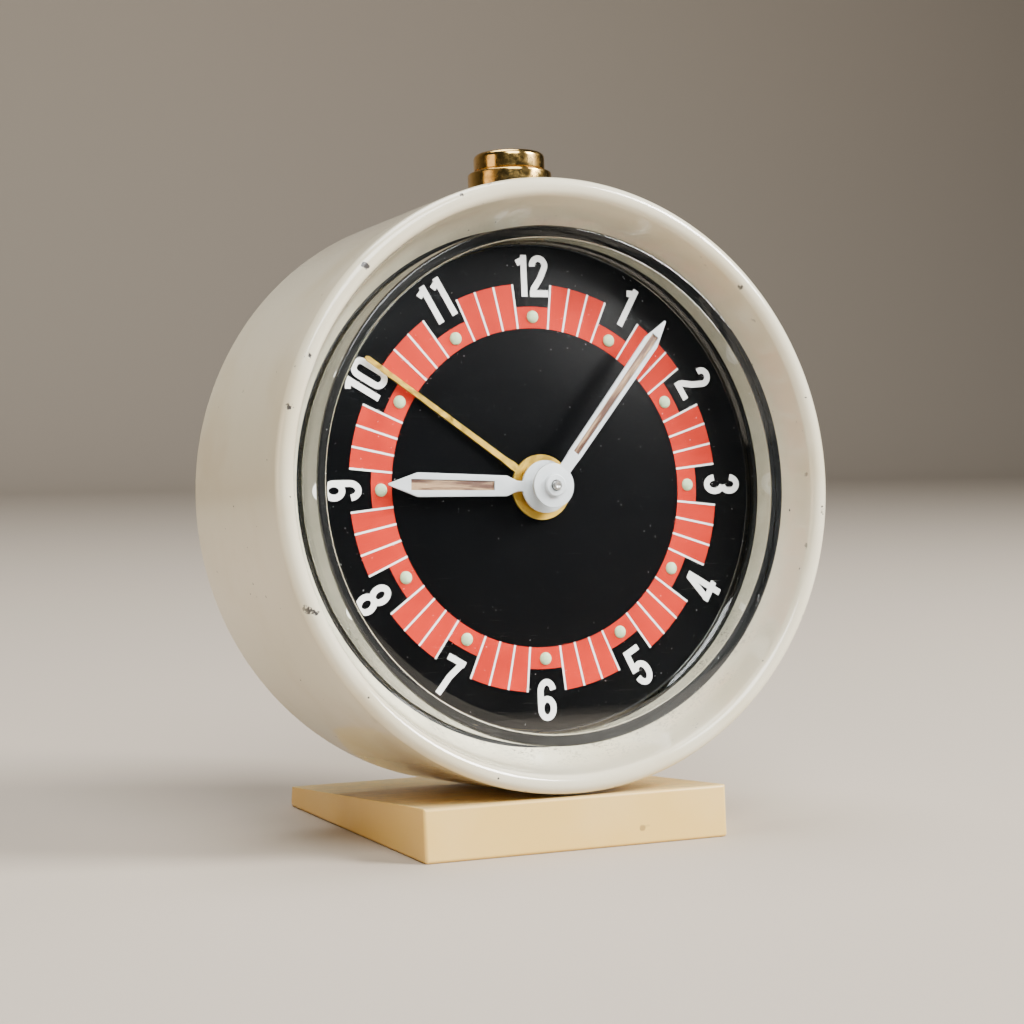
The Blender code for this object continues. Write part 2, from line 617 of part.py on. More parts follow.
def make_back_cover(drum):
    """Make the back cover, with its openings and the screws that hold it to the movement."""
    screws = [polar(CENTRE, PILLAR_CIRCLE, bearing) for bearing in COVER_SCREW_ANGLES]
    holes = [circle(WINDING_ARBOR_RADIUS + 2.0 * PLAY, 12, GREAT_AXIS),
             circle(WINDING_ARBOR_RADIUS + 2.0 * PLAY, 12, ALARM_GREAT_AXIS),
             circle(CENTRE_ARBOR_RADIUS + 2.0 * PLAY, 10),
             circle(PIVOT_RADIUS + 2.0 * PLAY, 10, ALARM_SET_AXIS),
             circle(SCREW_RADIUS + PLAY, 8, BELL_CENTRE), regulator_slot()]
    holes += [circle(SCREW_RADIUS + PLAY, 8, place) for place in screws]
    layered("back_cover", "bright_steel",
            [(COVER_FACE, COVER_BACK, [circle(SHELL_INSIDE - 2.0 * PLAY, 40)] + holes)], drum)
    for number, place in enumerate(screws, 1):
        head, shank = circle(SCREW_HEAD_RADIUS, 14), circle(SCREW_RADIUS, 12)
        layered(f"back_cover_screw_{number}", "bright_steel",
                [(BACK_PLATE_BACK + 0.45 * BELL_SPACE, COVER_BACK + PLAY, [shank]),
                 (COVER_BACK + PLAY, COVER_BACK + PLAY + SCREW_HEAD_HEIGHT, [head])], drum, place)


def make_bell(drum):
    """Make the alarm bell, a shallow cup screwed to the inside of the back cover."""
    rim, shank = BELL_RADIUS - BELL_WALL, SCREW_RADIUS + PLAY
    open_edge = BACK_PLATE_BACK + 2.0 * PLAY
    back = COVER_FACE - PLAY
    profile = [(shank, -back), (rim, -back), (BELL_RADIUS, -back + BELL_WALL),
               (BELL_RADIUS, -open_edge), (rim, -open_edge), (rim, -back + BELL_WALL),
               (shank, -back + BELL_WALL)]
    lathe("bell", "bell_steel", profile, drum, (*BELL_CENTRE, 0.0), 28)
    head_back = back - BELL_WALL - PLAY
    layered("bell_screw", "bright_steel",
            [(head_back - SCREW_HEAD_HEIGHT, head_back, [circle(SCREW_HEAD_RADIUS, 14)]),
             (head_back, COVER_BACK, [circle(SCREW_RADIUS, 12)])], drum, BELL_CENTRE)


# Going train ----------------------------------------------------------------------------------

def make_wheel(name, drum, axis, wheel_face, wheel, pinion_face, pinion, holes=()):
    """Make a wheel and its pinion on one arbor, with a pivot in each plate."""
    pivot, arbor = circle(PIVOT_RADIUS, 8), circle(ARBOR_RADIUS, 8)
    front = FRONT_PLATE_FACE + PLAY
    shoulder_front, shoulder_back = FRONT_PLATE_BACK + PLAY, BACK_PLATE_FACE - PLAY
    wheel_back = wheel_face + WHEEL_THICKNESS
    pinion_back = pinion_face + 2.0 * WHEEL_THICKNESS
    wheel_layer = (wheel_face, wheel_back, [wheel, *holes])
    pinion_layer = (pinion_face, pinion_back, [pinion])
    near, far = sorted((wheel_layer, pinion_layer), key=lambda layer: layer[0])
    layers = [(front, shoulder_front, [pivot]), (shoulder_front, near[0], [arbor]), near,
              (near[1], far[0], [arbor]), far, (far[1], shoulder_back, [arbor]),
              (shoulder_back, BACK_PLATE_BACK, [pivot])]
    layered(name, "plate_brass", layers, drum, axis)


def make_going_train(drum):
    """Make the centre, third, fourth and escape wheels."""
    centre_pinion = pinion_outline(
        pitch_of_mate(GREAT_PITCH, GREAT_TEETH, CENTRE_PINION_TEETH), CENTRE_PINION_TEETH,
        mating_phase(GREAT_BEARING + 180.0, GREAT_TEETH, CENTRE_PINION_TEETH))
    bore = circle(CENTRE_ARBOR_RADIUS + PIVOT_PLAY, 12)
    sleeve = circle(CENTRE_ARBOR_RADIUS + PIVOT_PLAY + SLEEVE_WALL, 12)
    pinion_front = GREAT_WHEEL_FACE - PLAY
    layered("centre_wheel", "plate_brass",
            [(pinion_front, pinion_front + 2.0 * WHEEL_THICKNESS, [centre_pinion, bore]),
             (pinion_front + 2.0 * WHEEL_THICKNESS, CENTRE_WHEEL_FACE, [sleeve, bore]),
             (CENTRE_WHEEL_FACE, CENTRE_WHEEL_FACE + WHEEL_THICKNESS,
              [wheel_outline(CENTRE_PITCH, CENTRE_TEETH), bore])], drum)
    third_pinion = pinion_outline(
        pitch_of_mate(CENTRE_PITCH, CENTRE_TEETH, THIRD_PINION_TEETH), THIRD_PINION_TEETH,
        mating_phase(THIRD_BEARING, CENTRE_TEETH, THIRD_PINION_TEETH))
    make_wheel("third_wheel", drum, THIRD_AXIS, THIRD_WHEEL_FACE,
               wheel_outline(THIRD_PITCH, THIRD_TEETH), CENTRE_WHEEL_FACE - PLAY, third_pinion)
    fourth_pinion = pinion_outline(
        pitch_of_mate(THIRD_PITCH, THIRD_TEETH, FOURTH_PINION_TEETH), FOURTH_PINION_TEETH,
        mating_phase(FOURTH_BEARING, THIRD_TEETH, FOURTH_PINION_TEETH))
    make_wheel("fourth_wheel", drum, FOURTH_AXIS, FOURTH_WHEEL_FACE,
               wheel_outline(FOURTH_PITCH, FOURTH_TEETH), THIRD_WHEEL_FACE - PLAY, fourth_pinion)
    escape_pinion = pinion_outline(
        pitch_of_mate(FOURTH_PITCH, FOURTH_TEETH, ESCAPE_PINION_TEETH), ESCAPE_PINION_TEETH,
        mating_phase(ESCAPE_BEARING, FOURTH_TEETH, ESCAPE_PINION_TEETH))
    make_wheel("escape_wheel", drum, ESCAPE_AXIS, ESCAPE_WHEEL_FACE,
               saw_outline(ESCAPE_RADIUS, ESCAPE_TEETH, 0.0009), FOURTH_WHEEL_FACE - PLAY,
               escape_pinion)


def make_escapement(drum):
    """Make the pallet lever, the balance on its staff and the hairspring."""
    pivot, arbor = circle(PIVOT_RADIUS, 8), circle(ARBOR_RADIUS, 8)
    front, shoulder = FRONT_PLATE_FACE + PLAY, FRONT_PLATE_BACK + PLAY
    tail = BACK_PLATE_FACE - PLAY
    fork = BALANCE_DISTANCE - ARBOR_RADIUS - 3.0 * PLAY
    tip = (PALLET_DISTANCE - ESCAPE_RADIUS - PALLET_REACH, ESCAPE_RADIUS + PLAY)
    half = [(tip[0] + 0.0008, tip[1] + 0.0001), (0.0002, 0.0014), (fork - 0.0012, 0.0005),
            (fork, 0.0009)]
    lever = [tip] + half + [(x, -y) for x, y in reversed(half)] + [(tip[0], -tip[1])]
    lever += [(-0.0008, -0.0012), (-0.0008, 0.0012)]
    layered("pallet_lever", "bright_steel",
            [(front, shoulder, [pivot]), (shoulder, ESCAPE_WHEEL_FACE, [arbor]),
             (ESCAPE_WHEEL_FACE, ESCAPE_WHEEL_FACE + WHEEL_THICKNESS, [lever]),
             (ESCAPE_WHEEL_FACE + WHEEL_THICKNESS, tail, [arbor]),
             (tail, BACK_PLATE_BACK, [pivot])], drum, PALLET_AXIS)
    rim_inside = BALANCE_RADIUS - 0.0012
    windows = [arc(CENTRE, rim_inside, start, start + 160.0, 9) + arc(
        CENTRE, 0.0018, start + 140.0, start + 20.0, 3) for start in (10.0, 190.0)]
    hub = circle(PIVOT_RADIUS + 2.0 * PLAY, 12)
    layered("balance_wheel", "plate_brass",
            [(front, shoulder, [pivot]), (shoulder, BALANCE_FACE, [arbor]),
             (BALANCE_FACE, BALANCE_FACE + 0.0010, [circle(BALANCE_RADIUS, 36), *windows]),
             (BALANCE_FACE + 0.0010, HAIRSPRING_FACE, [hub]),
             (HAIRSPRING_FACE, tail, [arbor]), (tail, BACK_PLATE_BACK, [pivot])],
            drum, BALANCE_AXIS)
    coil = spiral_strip(PIVOT_RADIUS + 3.0 * PLAY, 0.0052, 4, 0.00025, 12)
    layered("hairspring", "blued_spring_steel",
            [(HAIRSPRING_FACE, HAIRSPRING_FACE + 0.0006, [coil])], drum, BALANCE_AXIS)


def spiral_strip(start, end, turns, strip, steps):
    """Return the outline of a flat strip coiled from one radius out to another."""
    count = turns * steps
    outer, inner = [], []
    for step in range(count + 1):
        radius = start + strip + (end - start - strip) * step / count
        bearing = 360.0 * step / steps
        outer.append(polar(CENTRE, radius, bearing))
        inner.append(polar(CENTRE, radius - strip, bearing))
    return outer + inner[::-1]


# Winding and alarm ----------------------------------------------------------------------------

def make_winding(drum, name, axis, teeth, pitch, bearing):
    """Make one winding set: mainspring, arbor with ratchet, great wheel, click and key."""
    spring = spiral_strip(SPRING_HUB + PLAY, SPRING_RADIUS, SPRING_TURNS, SPRING_STRIP, 16)
    layered(f"{name}_mainspring", "blued_spring_steel",
            [(SPRING_FACE, SPRING_BACK, [spring])], drum, axis)
    ratchet = saw_outline(RATCHET_RADIUS, RATCHET_TEETH, 0.0007)
    ratchet_back = RATCHET_FACE + WHEEL_THICKNESS
    pivot, hub = circle(PIVOT_RADIUS, 10), circle(SPRING_HUB, 14)
    shaft, tail = circle(WINDING_ARBOR_RADIUS, 14), BACK_PLATE_FACE - PLAY
    key_seat = KNOB_FACE + SEAT_SHARE * KEY_HUB_LENGTH
    layered(f"{name}_winding_arbor", "bright_steel",
            [(FRONT_PLATE_FACE + PLAY, FRONT_PLATE_BACK + PLAY, [pivot]),
             (FRONT_PLATE_BACK + PLAY, SPRING_BACK, [hub]),
             (SPRING_BACK, RATCHET_FACE, [shaft]), (RATCHET_FACE, ratchet_back, [ratchet]),
             (ratchet_back, tail, [circle(SPRING_HUB, 14)]), (tail, key_seat, [shaft])],
            drum, axis)
    wheel = wheel_outline(pitch, teeth)
    great_back = GREAT_WHEEL_FACE + WHEEL_THICKNESS
    stud_place = polar(CENTRE, CLICK_DISTANCE, bearing)
    stud = circle(PIVOT_RADIUS, 10, stud_place)
    layered(f"{name}_great_wheel", "plate_brass",
            [(GREAT_WHEEL_FACE, great_back, [wheel, circle(WINDING_ARBOR_RADIUS + PIVOT_PLAY, 14)]),
             (great_back, ratchet_back, [stud])], drum, axis)
    tip = RATCHET_RADIUS + PLAY
    outline = turned_outline([(0.0012, -0.0012), (0.0012, 0.0012), (-0.0010, 0.0014),
                              (tip - CLICK_DISTANCE, 0.0030), (tip - CLICK_DISTANCE, 0.0020),
                              (-0.0014, -0.0004)], math.radians(bearing))
    layered(f"{name}_click", "bright_steel",
            [(great_back + PLAY, ratchet_back, [outline, circle(PIVOT_RADIUS + PIVOT_PLAY, 10)])],
            drum, (axis[0] + stud_place[0], axis[1] + stud_place[1]))
    make_key(drum, f"{name}_winding_key", axis, key_seat)


def make_key(drum, name, axis, key_seat):
    """Make a winding key: a hub on the arbor's end and a flat bow with two round wings."""
    outside = circle(KEY_HUB_RADIUS, 18)
    seat = key_seat + PLAY
    key = layered(name, "bright_steel",
                  [(KNOB_FACE, seat, [outside, circle(WINDING_ARBOR_RADIUS + PLAY, 14)]),
                   (seat, KNOB_FACE + KEY_HUB_LENGTH, [outside])], drum, axis)
    wing = KEY_BOW_LENGTH / 2.0
    reach = KEY_BOW_WIDTH / 2.0 - wing
    foot = -(seat + 2.0 * PLAY)
    middle = -(KNOB_FACE + KEY_HUB_LENGTH + wing)
    bow = [(KEY_HUB_RADIUS - 2.0 * PLAY, foot)]
    bow += arc((reach, middle), wing, 80.0, -90.0, 8)
    bow += [(0.0, middle - 0.6 * wing)]
    bow += arc((-reach, middle), wing, 270.0, 100.0, 8)
    bow += [(-KEY_HUB_RADIUS + 2.0 * PLAY, foot)]
    wings = prism(f"{name}_bow", "bright_steel", bow, KEY_BOW_THICKNESS / 2.0, drum,
                  (*axis, 0.0), axis="Y")
    use_as_tool(key, wings, "UNION")


def make_alarm_train(drum):
    """Make the alarm escape wheel and the hammer that it rocks against the bell."""
    pinion = pinion_outline(
        pitch_of_mate(ALARM_GREAT_PITCH, ALARM_GREAT_TEETH, ALARM_PINION_TEETH),
        ALARM_PINION_TEETH,
        mating_phase(ALARM_ESCAPE_BEARING, ALARM_GREAT_TEETH, ALARM_PINION_TEETH))
    make_wheel("alarm_escape_wheel", drum, ALARM_ESCAPE_AXIS, ALARM_ESCAPE_FACE,
               saw_outline(ALARM_ESCAPE_RADIUS, ALARM_ESCAPE_TEETH, 0.0009),
               GREAT_WHEEL_FACE - PLAY, pinion)
    to_bell = (BELL_CENTRE[0] - HAMMER_AXIS[0], BELL_CENTRE[1] - HAMMER_AXIS[1])
    distance = math.hypot(*to_bell)
    stand_off = BELL_RADIUS + HAMMER_HEAD_RADIUS + HAMMER_GAP
    cosine = (distance ** 2 + HAMMER_ARM ** 2 - stand_off ** 2) / (2.0 * distance * HAMMER_ARM)
    bearing = math.degrees(math.atan2(to_bell[1], to_bell[0]) - math.acos(cosine))
    head = circle(HAMMER_HEAD_RADIUS, 12, polar(CENTRE, HAMMER_ARM, bearing))
    angle = math.radians(bearing)
    arm = turned_outline([(-0.0014, -0.0011), (HAMMER_ARM + 0.0016, -0.0016),
                          (HAMMER_ARM + 0.0016, 0.0016), (-0.0014, 0.0011)], angle)
    pivot, arbor = circle(PIVOT_RADIUS, 8), circle(ARBOR_RADIUS, 8)
    pallet = turned_outline([(-0.0012, -0.0012), (0.0014, -0.0030), (0.0018, -0.0026),
                             (0.0009, 0.0), (0.0018, 0.0026), (0.0014, 0.0030),
                             (-0.0012, 0.0012)], math.radians(HAMMER_BEARING + 180.0))
    arm_face = BACK_PLATE_BACK + PLAY
    arm_back = arm_face + 0.0007
    layered("alarm_hammer", "bright_steel",
            [(FRONT_PLATE_FACE + PLAY, FRONT_PLATE_BACK + PLAY, [pivot]),
             (FRONT_PLATE_BACK + PLAY, ALARM_ESCAPE_FACE, [arbor]),
             (ALARM_ESCAPE_FACE, ALARM_ESCAPE_FACE + WHEEL_THICKNESS, [pallet]),
             (ALARM_ESCAPE_FACE + WHEEL_THICKNESS, BACK_PLATE_FACE - PLAY, [arbor]),
             (BACK_PLATE_FACE - PLAY, arm_face, [pivot]), (arm_face, arm_back, [arm]),
             (arm_back, COVER_FACE - 3.0 * PLAY, [head])], drum, HAMMER_AXIS)


# Motion work, hands and setting knobs ---------------------------------------------------------

def hand_outline(length, hub, neck, width, tip_length):
    """Return a pointed hand with a round hub, pointing along +Y."""
    start = math.degrees(math.asin(neck / hub))
    round_hub = arc(CENTRE, hub, 90.0 + start, 450.0 - start, 20)
    blade = hub + 0.0010
    shoulder = length - tip_length
    right = [(neck, blade), (width, blade + 0.0020), (width * 1.25, shoulder)]
    left = [(-x, y) for x, y in reversed(right)]
    return round_hub + right + [(0.0, length)] + left


def slot_outline(start, end, near_width, far_width):
    """Return the window along a hand that its luminous filling shows through."""
    return [(-near_width, start), (near_width, start), (far_width, end), (-far_width, end)]


def make_motion_work(drum):
    """Make the centre arbor with its cannon pinion, the minute wheel and the hour wheel."""
    cannon_pitch = MOTION_DISTANCE * CANNON_TEETH / (CANNON_TEETH + MINUTE_WHEEL_TEETH)
    hour_pitch = MOTION_DISTANCE * HOUR_WHEEL_TEETH / (HOUR_WHEEL_TEETH + MINUTE_PINION_TEETH)
    cannon_face = FRONT_PLATE_FACE - 0.0014
    minute_face = FRONT_PLATE_FACE - 0.0011
    hour_face = minute_face - 0.0011
    alarm_face = hour_face - 0.0010
    minute_top = DIAL_DEPTH - MINUTE_HAND_RISE
    pin, pipe = circle(CENTRE_ARBOR_RADIUS, 12), circle(CANNON_RADIUS, 14)
    shaft = circle(CENTRE_ARBOR_RADIUS, 12)
    layered("centre_arbor", "bright_steel",
            [(DIAL_DEPTH - ARBOR_TIP_RISE, minute_top + PLAY, [pin]),
             (minute_top + PLAY, cannon_face, [pipe]),
             (cannon_face, FRONT_PLATE_FACE - PLAY,
              [pinion_outline(cannon_pitch, CANNON_TEETH)]),
             (FRONT_PLATE_FACE - PLAY, KNOB_FACE + SEAT_SHARE * KNOB_LENGTH, [shaft])], drum)
    minute_wheel = wheel_outline(
        MOTION_DISTANCE - cannon_pitch, MINUTE_WHEEL_TEETH,
        mating_phase(MOTION_BEARING, CANNON_TEETH, MINUTE_WHEEL_TEETH))
    stud_bore = circle(PIVOT_RADIUS + PIVOT_PLAY, 10)
    minute_pinion = pinion_outline(MOTION_DISTANCE - hour_pitch, MINUTE_PINION_TEETH,
                                   mating_phase(MOTION_BEARING, HOUR_WHEEL_TEETH,
                                                MINUTE_PINION_TEETH))
    layered("minute_wheel", "plate_brass",
            [(hour_face - PLAY, minute_face, [minute_pinion, stud_bore]),
             (minute_face, minute_face + WHEEL_THICKNESS, [minute_wheel, stud_bore])],
            drum, MINUTE_WHEEL_AXIS)
    hour_bore = circle(CANNON_RADIUS + PLAY, 14)
    hour_pipe = circle(HOUR_PIPE_RADIUS, 16)
    hour_top = DIAL_DEPTH - HOUR_HAND_RISE
    layered("hour_wheel", "plate_brass",
            [(hour_top - HAND_THICKNESS, hour_face, [hour_pipe, hour_bore]),
             (hour_face, hour_face + WHEEL_THICKNESS,
              [wheel_outline(hour_pitch, HOUR_WHEEL_TEETH), hour_bore])], drum)
    alarm_pitch = ALARM_SET_DISTANCE * ALARM_WHEEL_TEETH / (ALARM_WHEEL_TEETH + ALARM_SET_TEETH)
    alarm_bore = circle(HOUR_PIPE_RADIUS + PLAY, 16)
    layered("alarm_wheel", "plate_brass",
            [(DIAL_DEPTH - ALARM_HAND_RISE - HAND_THICKNESS, alarm_face,
              [circle(ALARM_PIPE_RADIUS, 16), alarm_bore]),
             (alarm_face, alarm_face + WHEEL_THICKNESS,
              [wheel_outline(alarm_pitch, ALARM_WHEEL_TEETH), alarm_bore])], drum)
    set_pinion = pinion_outline(
        ALARM_SET_DISTANCE - alarm_pitch, ALARM_SET_TEETH,
        mating_phase(ALARM_SET_BEARING, ALARM_WHEEL_TEETH, ALARM_SET_TEETH))
    layered("alarm_set_arbor", "bright_steel",
            [(alarm_face - PLAY / 2.0, alarm_face + 1.5 * WHEEL_THICKNESS, [set_pinion]),
             (alarm_face + 1.5 * WHEEL_THICKNESS, KNOB_FACE + SEAT_SHARE * KNOB_LENGTH,
              [circle(PIVOT_RADIUS, 12)])], drum, ALARM_SET_AXIS)


def make_hands(drum):
    """Make the alarm, hour and minute hands at the time that the clock shows."""
    minute_back = DIAL_DEPTH - MINUTE_HAND_RISE
    minute_front = minute_back - HAND_THICKNESS
    bore = circle(CENTRE_ARBOR_RADIUS + PLAY, 12)
    layered("minute_hand", "white_hand_lacquer",
            [(minute_front - MINUTE_COLLAR, minute_front,
              [circle(MINUTE_HUB_RADIUS * 0.5, 16), bore]),
             (minute_front, minute_back,
              [hand_outline(MINUTE_HAND_LENGTH, MINUTE_HUB_RADIUS, 0.0007, 0.0011, 0.0052), bore,
               slot_outline(0.0058, MINUTE_HAND_LENGTH - 0.0034, 0.0005, 0.0008)])],
            drum, turn=math.radians(-MINUTE_HAND_ANGLE))
    hour_back = DIAL_DEPTH - HOUR_HAND_RISE
    layered("hour_hand", "white_hand_lacquer",
            [(hour_back - HAND_THICKNESS, hour_back,
              [hand_outline(HOUR_HAND_LENGTH, HOUR_HUB_RADIUS, 0.0008, 0.0013, 0.0050),
               circle(HOUR_PIPE_RADIUS + PLAY, 16),
               slot_outline(0.0076, HOUR_HAND_LENGTH - 0.0036, 0.0007, 0.0010)])],
            drum, turn=math.radians(-HOUR_HAND_ANGLE))
    alarm_back = DIAL_DEPTH - ALARM_HAND_RISE
    layered("alarm_hand", "polished_brass",
            [(alarm_back - HAND_THICKNESS, alarm_back,
              [hand_outline(ALARM_HAND_LENGTH, ALARM_HUB_RADIUS, 0.00045, 0.00032, 0.0010),
               circle(ALARM_PIPE_RADIUS + PLAY, 16)])],
            drum, turn=math.radians(-ALARM_HAND_ANGLE))


def make_knob(drum, name, axis, radius, shaft):
    """Make a serrated knob with a blind bore for its arbor."""
    grip = wheel_outline(radius, 18)
    seat = KNOB_FACE + SEAT_SHARE * KNOB_LENGTH + PLAY
    layered(name, "black_plastic",
            [(KNOB_FACE, seat, [grip, circle(shaft + PLAY, 12)]),
             (seat, KNOB_FACE + KNOB_LENGTH, [grip])], drum, axis)


def make_regulator(drum):
    """Make the regulator lever, whose pin comes out through the back cover."""
    half = PIVOT_RADIUS + PLAY
    boss = 0.0022
    lean = math.degrees(math.asin(half / boss))
    arm = arc(CENTRE, boss, 90.0 + lean, 450.0 - lean, 16)
    arm += arc((0.0, REGULATOR_REACH), half, 0.0, 180.0, 6)
    face = BACK_PLATE_BACK + PLAY
    layered("regulator_lever", "bright_steel",
            [(face, face + WHEEL_THICKNESS, [arm, circle(PIVOT_RADIUS + PIVOT_PLAY, 12)]),
             (face + WHEEL_THICKNESS, COVER_BACK + 0.0016,
              [circle(PIVOT_RADIUS, 10, (0.0, REGULATOR_REACH))])], drum, BALANCE_AXIS)


# Alarm stop button ----------------------------------------------------------------------------

def make_button(frame):
    """Make the button, its collar, spring and plunger, standing on top of the drum."""
    bore = BUTTON_RADIUS + PLAY
    outside = bore + COLLAR_WALL
    lathe("button_collar", "polished_brass",
          [(PLUNGER_RADIUS + PLAY, PLAY), (outside, PLAY), (outside, COLLAR_HEIGHT),
           (bore, COLLAR_HEIGHT), (bore, PLAY + COLLAR_WALL),
           (PLUNGER_RADIUS + PLAY, PLAY + COLLAR_WALL)], frame, segments=24)
    bottom = PLAY + COLLAR_WALL + BUTTON_TRAVEL + PLAY
    top = bottom + BUTTON_HEIGHT
    crown = arc((BUTTON_RADIUS - BUTTON_ROUND, top - BUTTON_ROUND), BUTTON_ROUND, 0.0, 90.0, 3)
    roof = bottom + BUTTON_SOCKET
    inside = BUTTON_RADIUS - BUTTON_WALL
    lathe("alarm_stop_button", "polished_brass",
          [(0.0, roof), (inside, roof), (inside, bottom), (BUTTON_RADIUS, bottom)] + crown
          + [(0.0, top)],
          frame, segments=24, closed=False)
    tail = BUTTON_TRAVEL + PLAY - (DRUM_RADIUS - FRONT_PLATE_RADIUS)
    lathe("button_plunger", "bright_steel",
          [(0.0, tail), (PLUNGER_RADIUS, tail), (PLUNGER_RADIUS, roof - PLAY),
           (0.0, roof - PLAY)], frame, segments=14, closed=False)
    make_button_spring(frame, PLAY + COLLAR_WALL + PLAY, roof - PLAY, inside)


def make_button_spring(frame, bottom, top, inside):
    """Make the coil that lifts the button, wound round the plunger."""
    wire = BUTTON_SPRING_WIRE
    radius = (PLUNGER_RADIUS + inside) / 2.0
    turns, steps = 3, 10
    curve = bpy.data.curves.new("button_spring", "CURVE")
    curve.dimensions = "3D"
    curve.bevel_depth = wire
    curve.bevel_resolution = 1
    curve.use_fill_caps = True
    line = curve.splines.new("POLY")
    line.points.add(turns * steps)
    height = top - bottom - 2.0 * wire
    for step, point in enumerate(line.points):
        angle = TAU * step / steps
        rise = bottom + wire + height * step / (turns * steps)
        point.co = (radius * math.cos(angle), radius * math.sin(angle), rise, 1.0)
    curve.materials.append(finish("bright_steel"))
    coil = bpy.data.objects.new("button_spring", curve)
    coil.parent = frame
    bpy.context.scene.collection.objects.link(coil)


def main():
    """Build the whole clock."""
    clear_scene()
    drum = add_empty("drum_frame", lip_centre(), (math.radians(90.0) - TILT, 0.0, 0.0))
    button = add_empty("button_frame", (0.0, DRUM_RADIUS, -BUTTON_DEPTH),
                       (math.radians(-90.0), 0.0, 0.0), drum)
    make_foot(drum)
    make_case_shell(drum)
    make_crystal(drum)
    make_crystal_seat(drum)
    make_dial(drum)
    make_plates(drum)
    make_pillars(drum)
    make_back_cover(drum)
    make_bell(drum)
    make_winding(drum, "time", GREAT_AXIS, GREAT_TEETH, GREAT_PITCH, 200.0)
    make_winding(drum, "alarm", ALARM_GREAT_AXIS, ALARM_GREAT_TEETH, ALARM_GREAT_PITCH, 340.0)
    make_going_train(drum)
    make_escapement(drum)
    make_alarm_train(drum)
    make_motion_work(drum)
    make_hands(drum)
    make_knob(drum, "time_set_knob", CENTRE, SET_KNOB_RADIUS, CENTRE_ARBOR_RADIUS)
    make_knob(drum, "alarm_set_knob", ALARM_SET_AXIS, ALARM_KNOB_RADIUS, PIVOT_RADIUS)
    make_regulator(drum)
    make_button(button)
    bpy.context.view_layer.update()


main()
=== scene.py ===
"""The finished look of a wind-up table alarm clock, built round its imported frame.

Sizes are in metres. Each turned or cut piece is modelled in the drum's own space, with the origin
at the centre of the front lip, +Z out through the crystal and depths counted back along -Z, and
is then set into the row frame.
"""
import json
import logging
import math
from dataclasses import dataclass, field
from enum import Enum
from typing import Callable, Iterable, Sequence

import bpy
from mathutils import Euler, Matrix, Vector


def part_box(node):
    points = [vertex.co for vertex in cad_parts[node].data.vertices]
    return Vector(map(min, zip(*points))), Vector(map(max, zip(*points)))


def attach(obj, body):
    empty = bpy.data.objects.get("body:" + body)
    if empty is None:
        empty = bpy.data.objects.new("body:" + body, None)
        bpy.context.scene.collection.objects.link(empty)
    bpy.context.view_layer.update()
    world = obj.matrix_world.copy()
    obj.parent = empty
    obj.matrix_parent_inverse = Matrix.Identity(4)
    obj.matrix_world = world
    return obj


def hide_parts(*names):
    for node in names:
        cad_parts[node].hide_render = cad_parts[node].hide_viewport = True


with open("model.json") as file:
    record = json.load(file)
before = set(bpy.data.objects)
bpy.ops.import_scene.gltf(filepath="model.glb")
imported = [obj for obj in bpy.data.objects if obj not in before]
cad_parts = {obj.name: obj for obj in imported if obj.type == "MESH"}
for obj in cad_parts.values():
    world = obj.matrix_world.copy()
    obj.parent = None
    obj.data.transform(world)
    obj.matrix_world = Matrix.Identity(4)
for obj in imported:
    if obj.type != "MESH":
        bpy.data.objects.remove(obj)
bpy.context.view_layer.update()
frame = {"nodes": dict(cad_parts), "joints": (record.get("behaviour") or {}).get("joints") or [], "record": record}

Point = tuple[float, float]
Outline = list[Point]
Colour = tuple[float, float, float]

TINY = 1.0e-6
SMOOTH_ANGLE = math.radians(32.0)
HOUR_BEARING = 271.6
MINUTE_BEARING = 39.1
log = logging.getLogger("clock")


# Frame ----------------------------------------------------------------------------------------

def joint(name: str) -> dict:
    """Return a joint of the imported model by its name."""
    return next(entry for entry in frame["joints"] if entry["name"] == name)


def drum_matrix() -> Matrix:
    """Return the drum's own space, from the axis that the hands turn on."""
    out = Vector(joint("minute_turn")["axis"]).normalized()
    across = Vector((1.0, 0.0, 0.0))
    up = out.cross(across)
    turn = Matrix((across, up, out)).transposed()
    return Matrix.Translation(Vector(joint("minute_turn")["pos_m"])) @ turn.to_4x4()


DRUM = drum_matrix()


def axis_place(name: str) -> Point:
    """Return where a joint's axis crosses the dial, in the drum's space."""
    local = DRUM.inverted() @ Vector(joint(name)["pos_m"])
    return (local.x, local.y)


def depth_range(node: str) -> tuple[float, float]:
    """Return the front and back depth of a CAD node, from its own vertices."""
    inverse = DRUM.inverted()
    depths = [-(inverse @ vertex.co).z for vertex in frame["nodes"][node].data.vertices]
    return (min(depths), max(depths))


def node_middle(node: str) -> Point:
    """Return the middle of a CAD node across the dial, in the drum's space."""
    inverse = DRUM.inverted()
    places = [inverse @ vertex.co for vertex in frame["nodes"][node].data.vertices]
    across, up = [place.x for place in places], [place.y for place in places]
    return ((min(across) + max(across)) / 2.0, (min(up) + max(up)) / 2.0)


def reach(node: str) -> float:
    """Return how far a CAD node reaches from the drum's axis."""
    inverse = DRUM.inverted()
    return max((inverse @ vertex.co).xy.length for vertex in frame["nodes"][node].data.vertices)


# Modelling ------------------------------------------------------------------------------------

def deselect() -> None:
    """Leave edit mode and deselect everything."""
    if bpy.context.object and bpy.context.object.mode != "OBJECT":
        bpy.ops.object.mode_set(mode="OBJECT")
    bpy.ops.object.select_all(action="DESELECT")


def pick(piece: bpy.types.Object) -> None:
    """Select one piece alone and make it active."""
    deselect()
    piece.select_set(True)
    bpy.context.view_layer.objects.active = piece


def polar(radius: float, bearing: float, centre: Point = (0.0, 0.0)) -> Point:
    """Return the point at a radius and a bearing in degrees, counted from +X to +Y."""
    angle = math.radians(bearing)
    return (centre[0] + radius * math.cos(angle), centre[1] + radius * math.sin(angle))


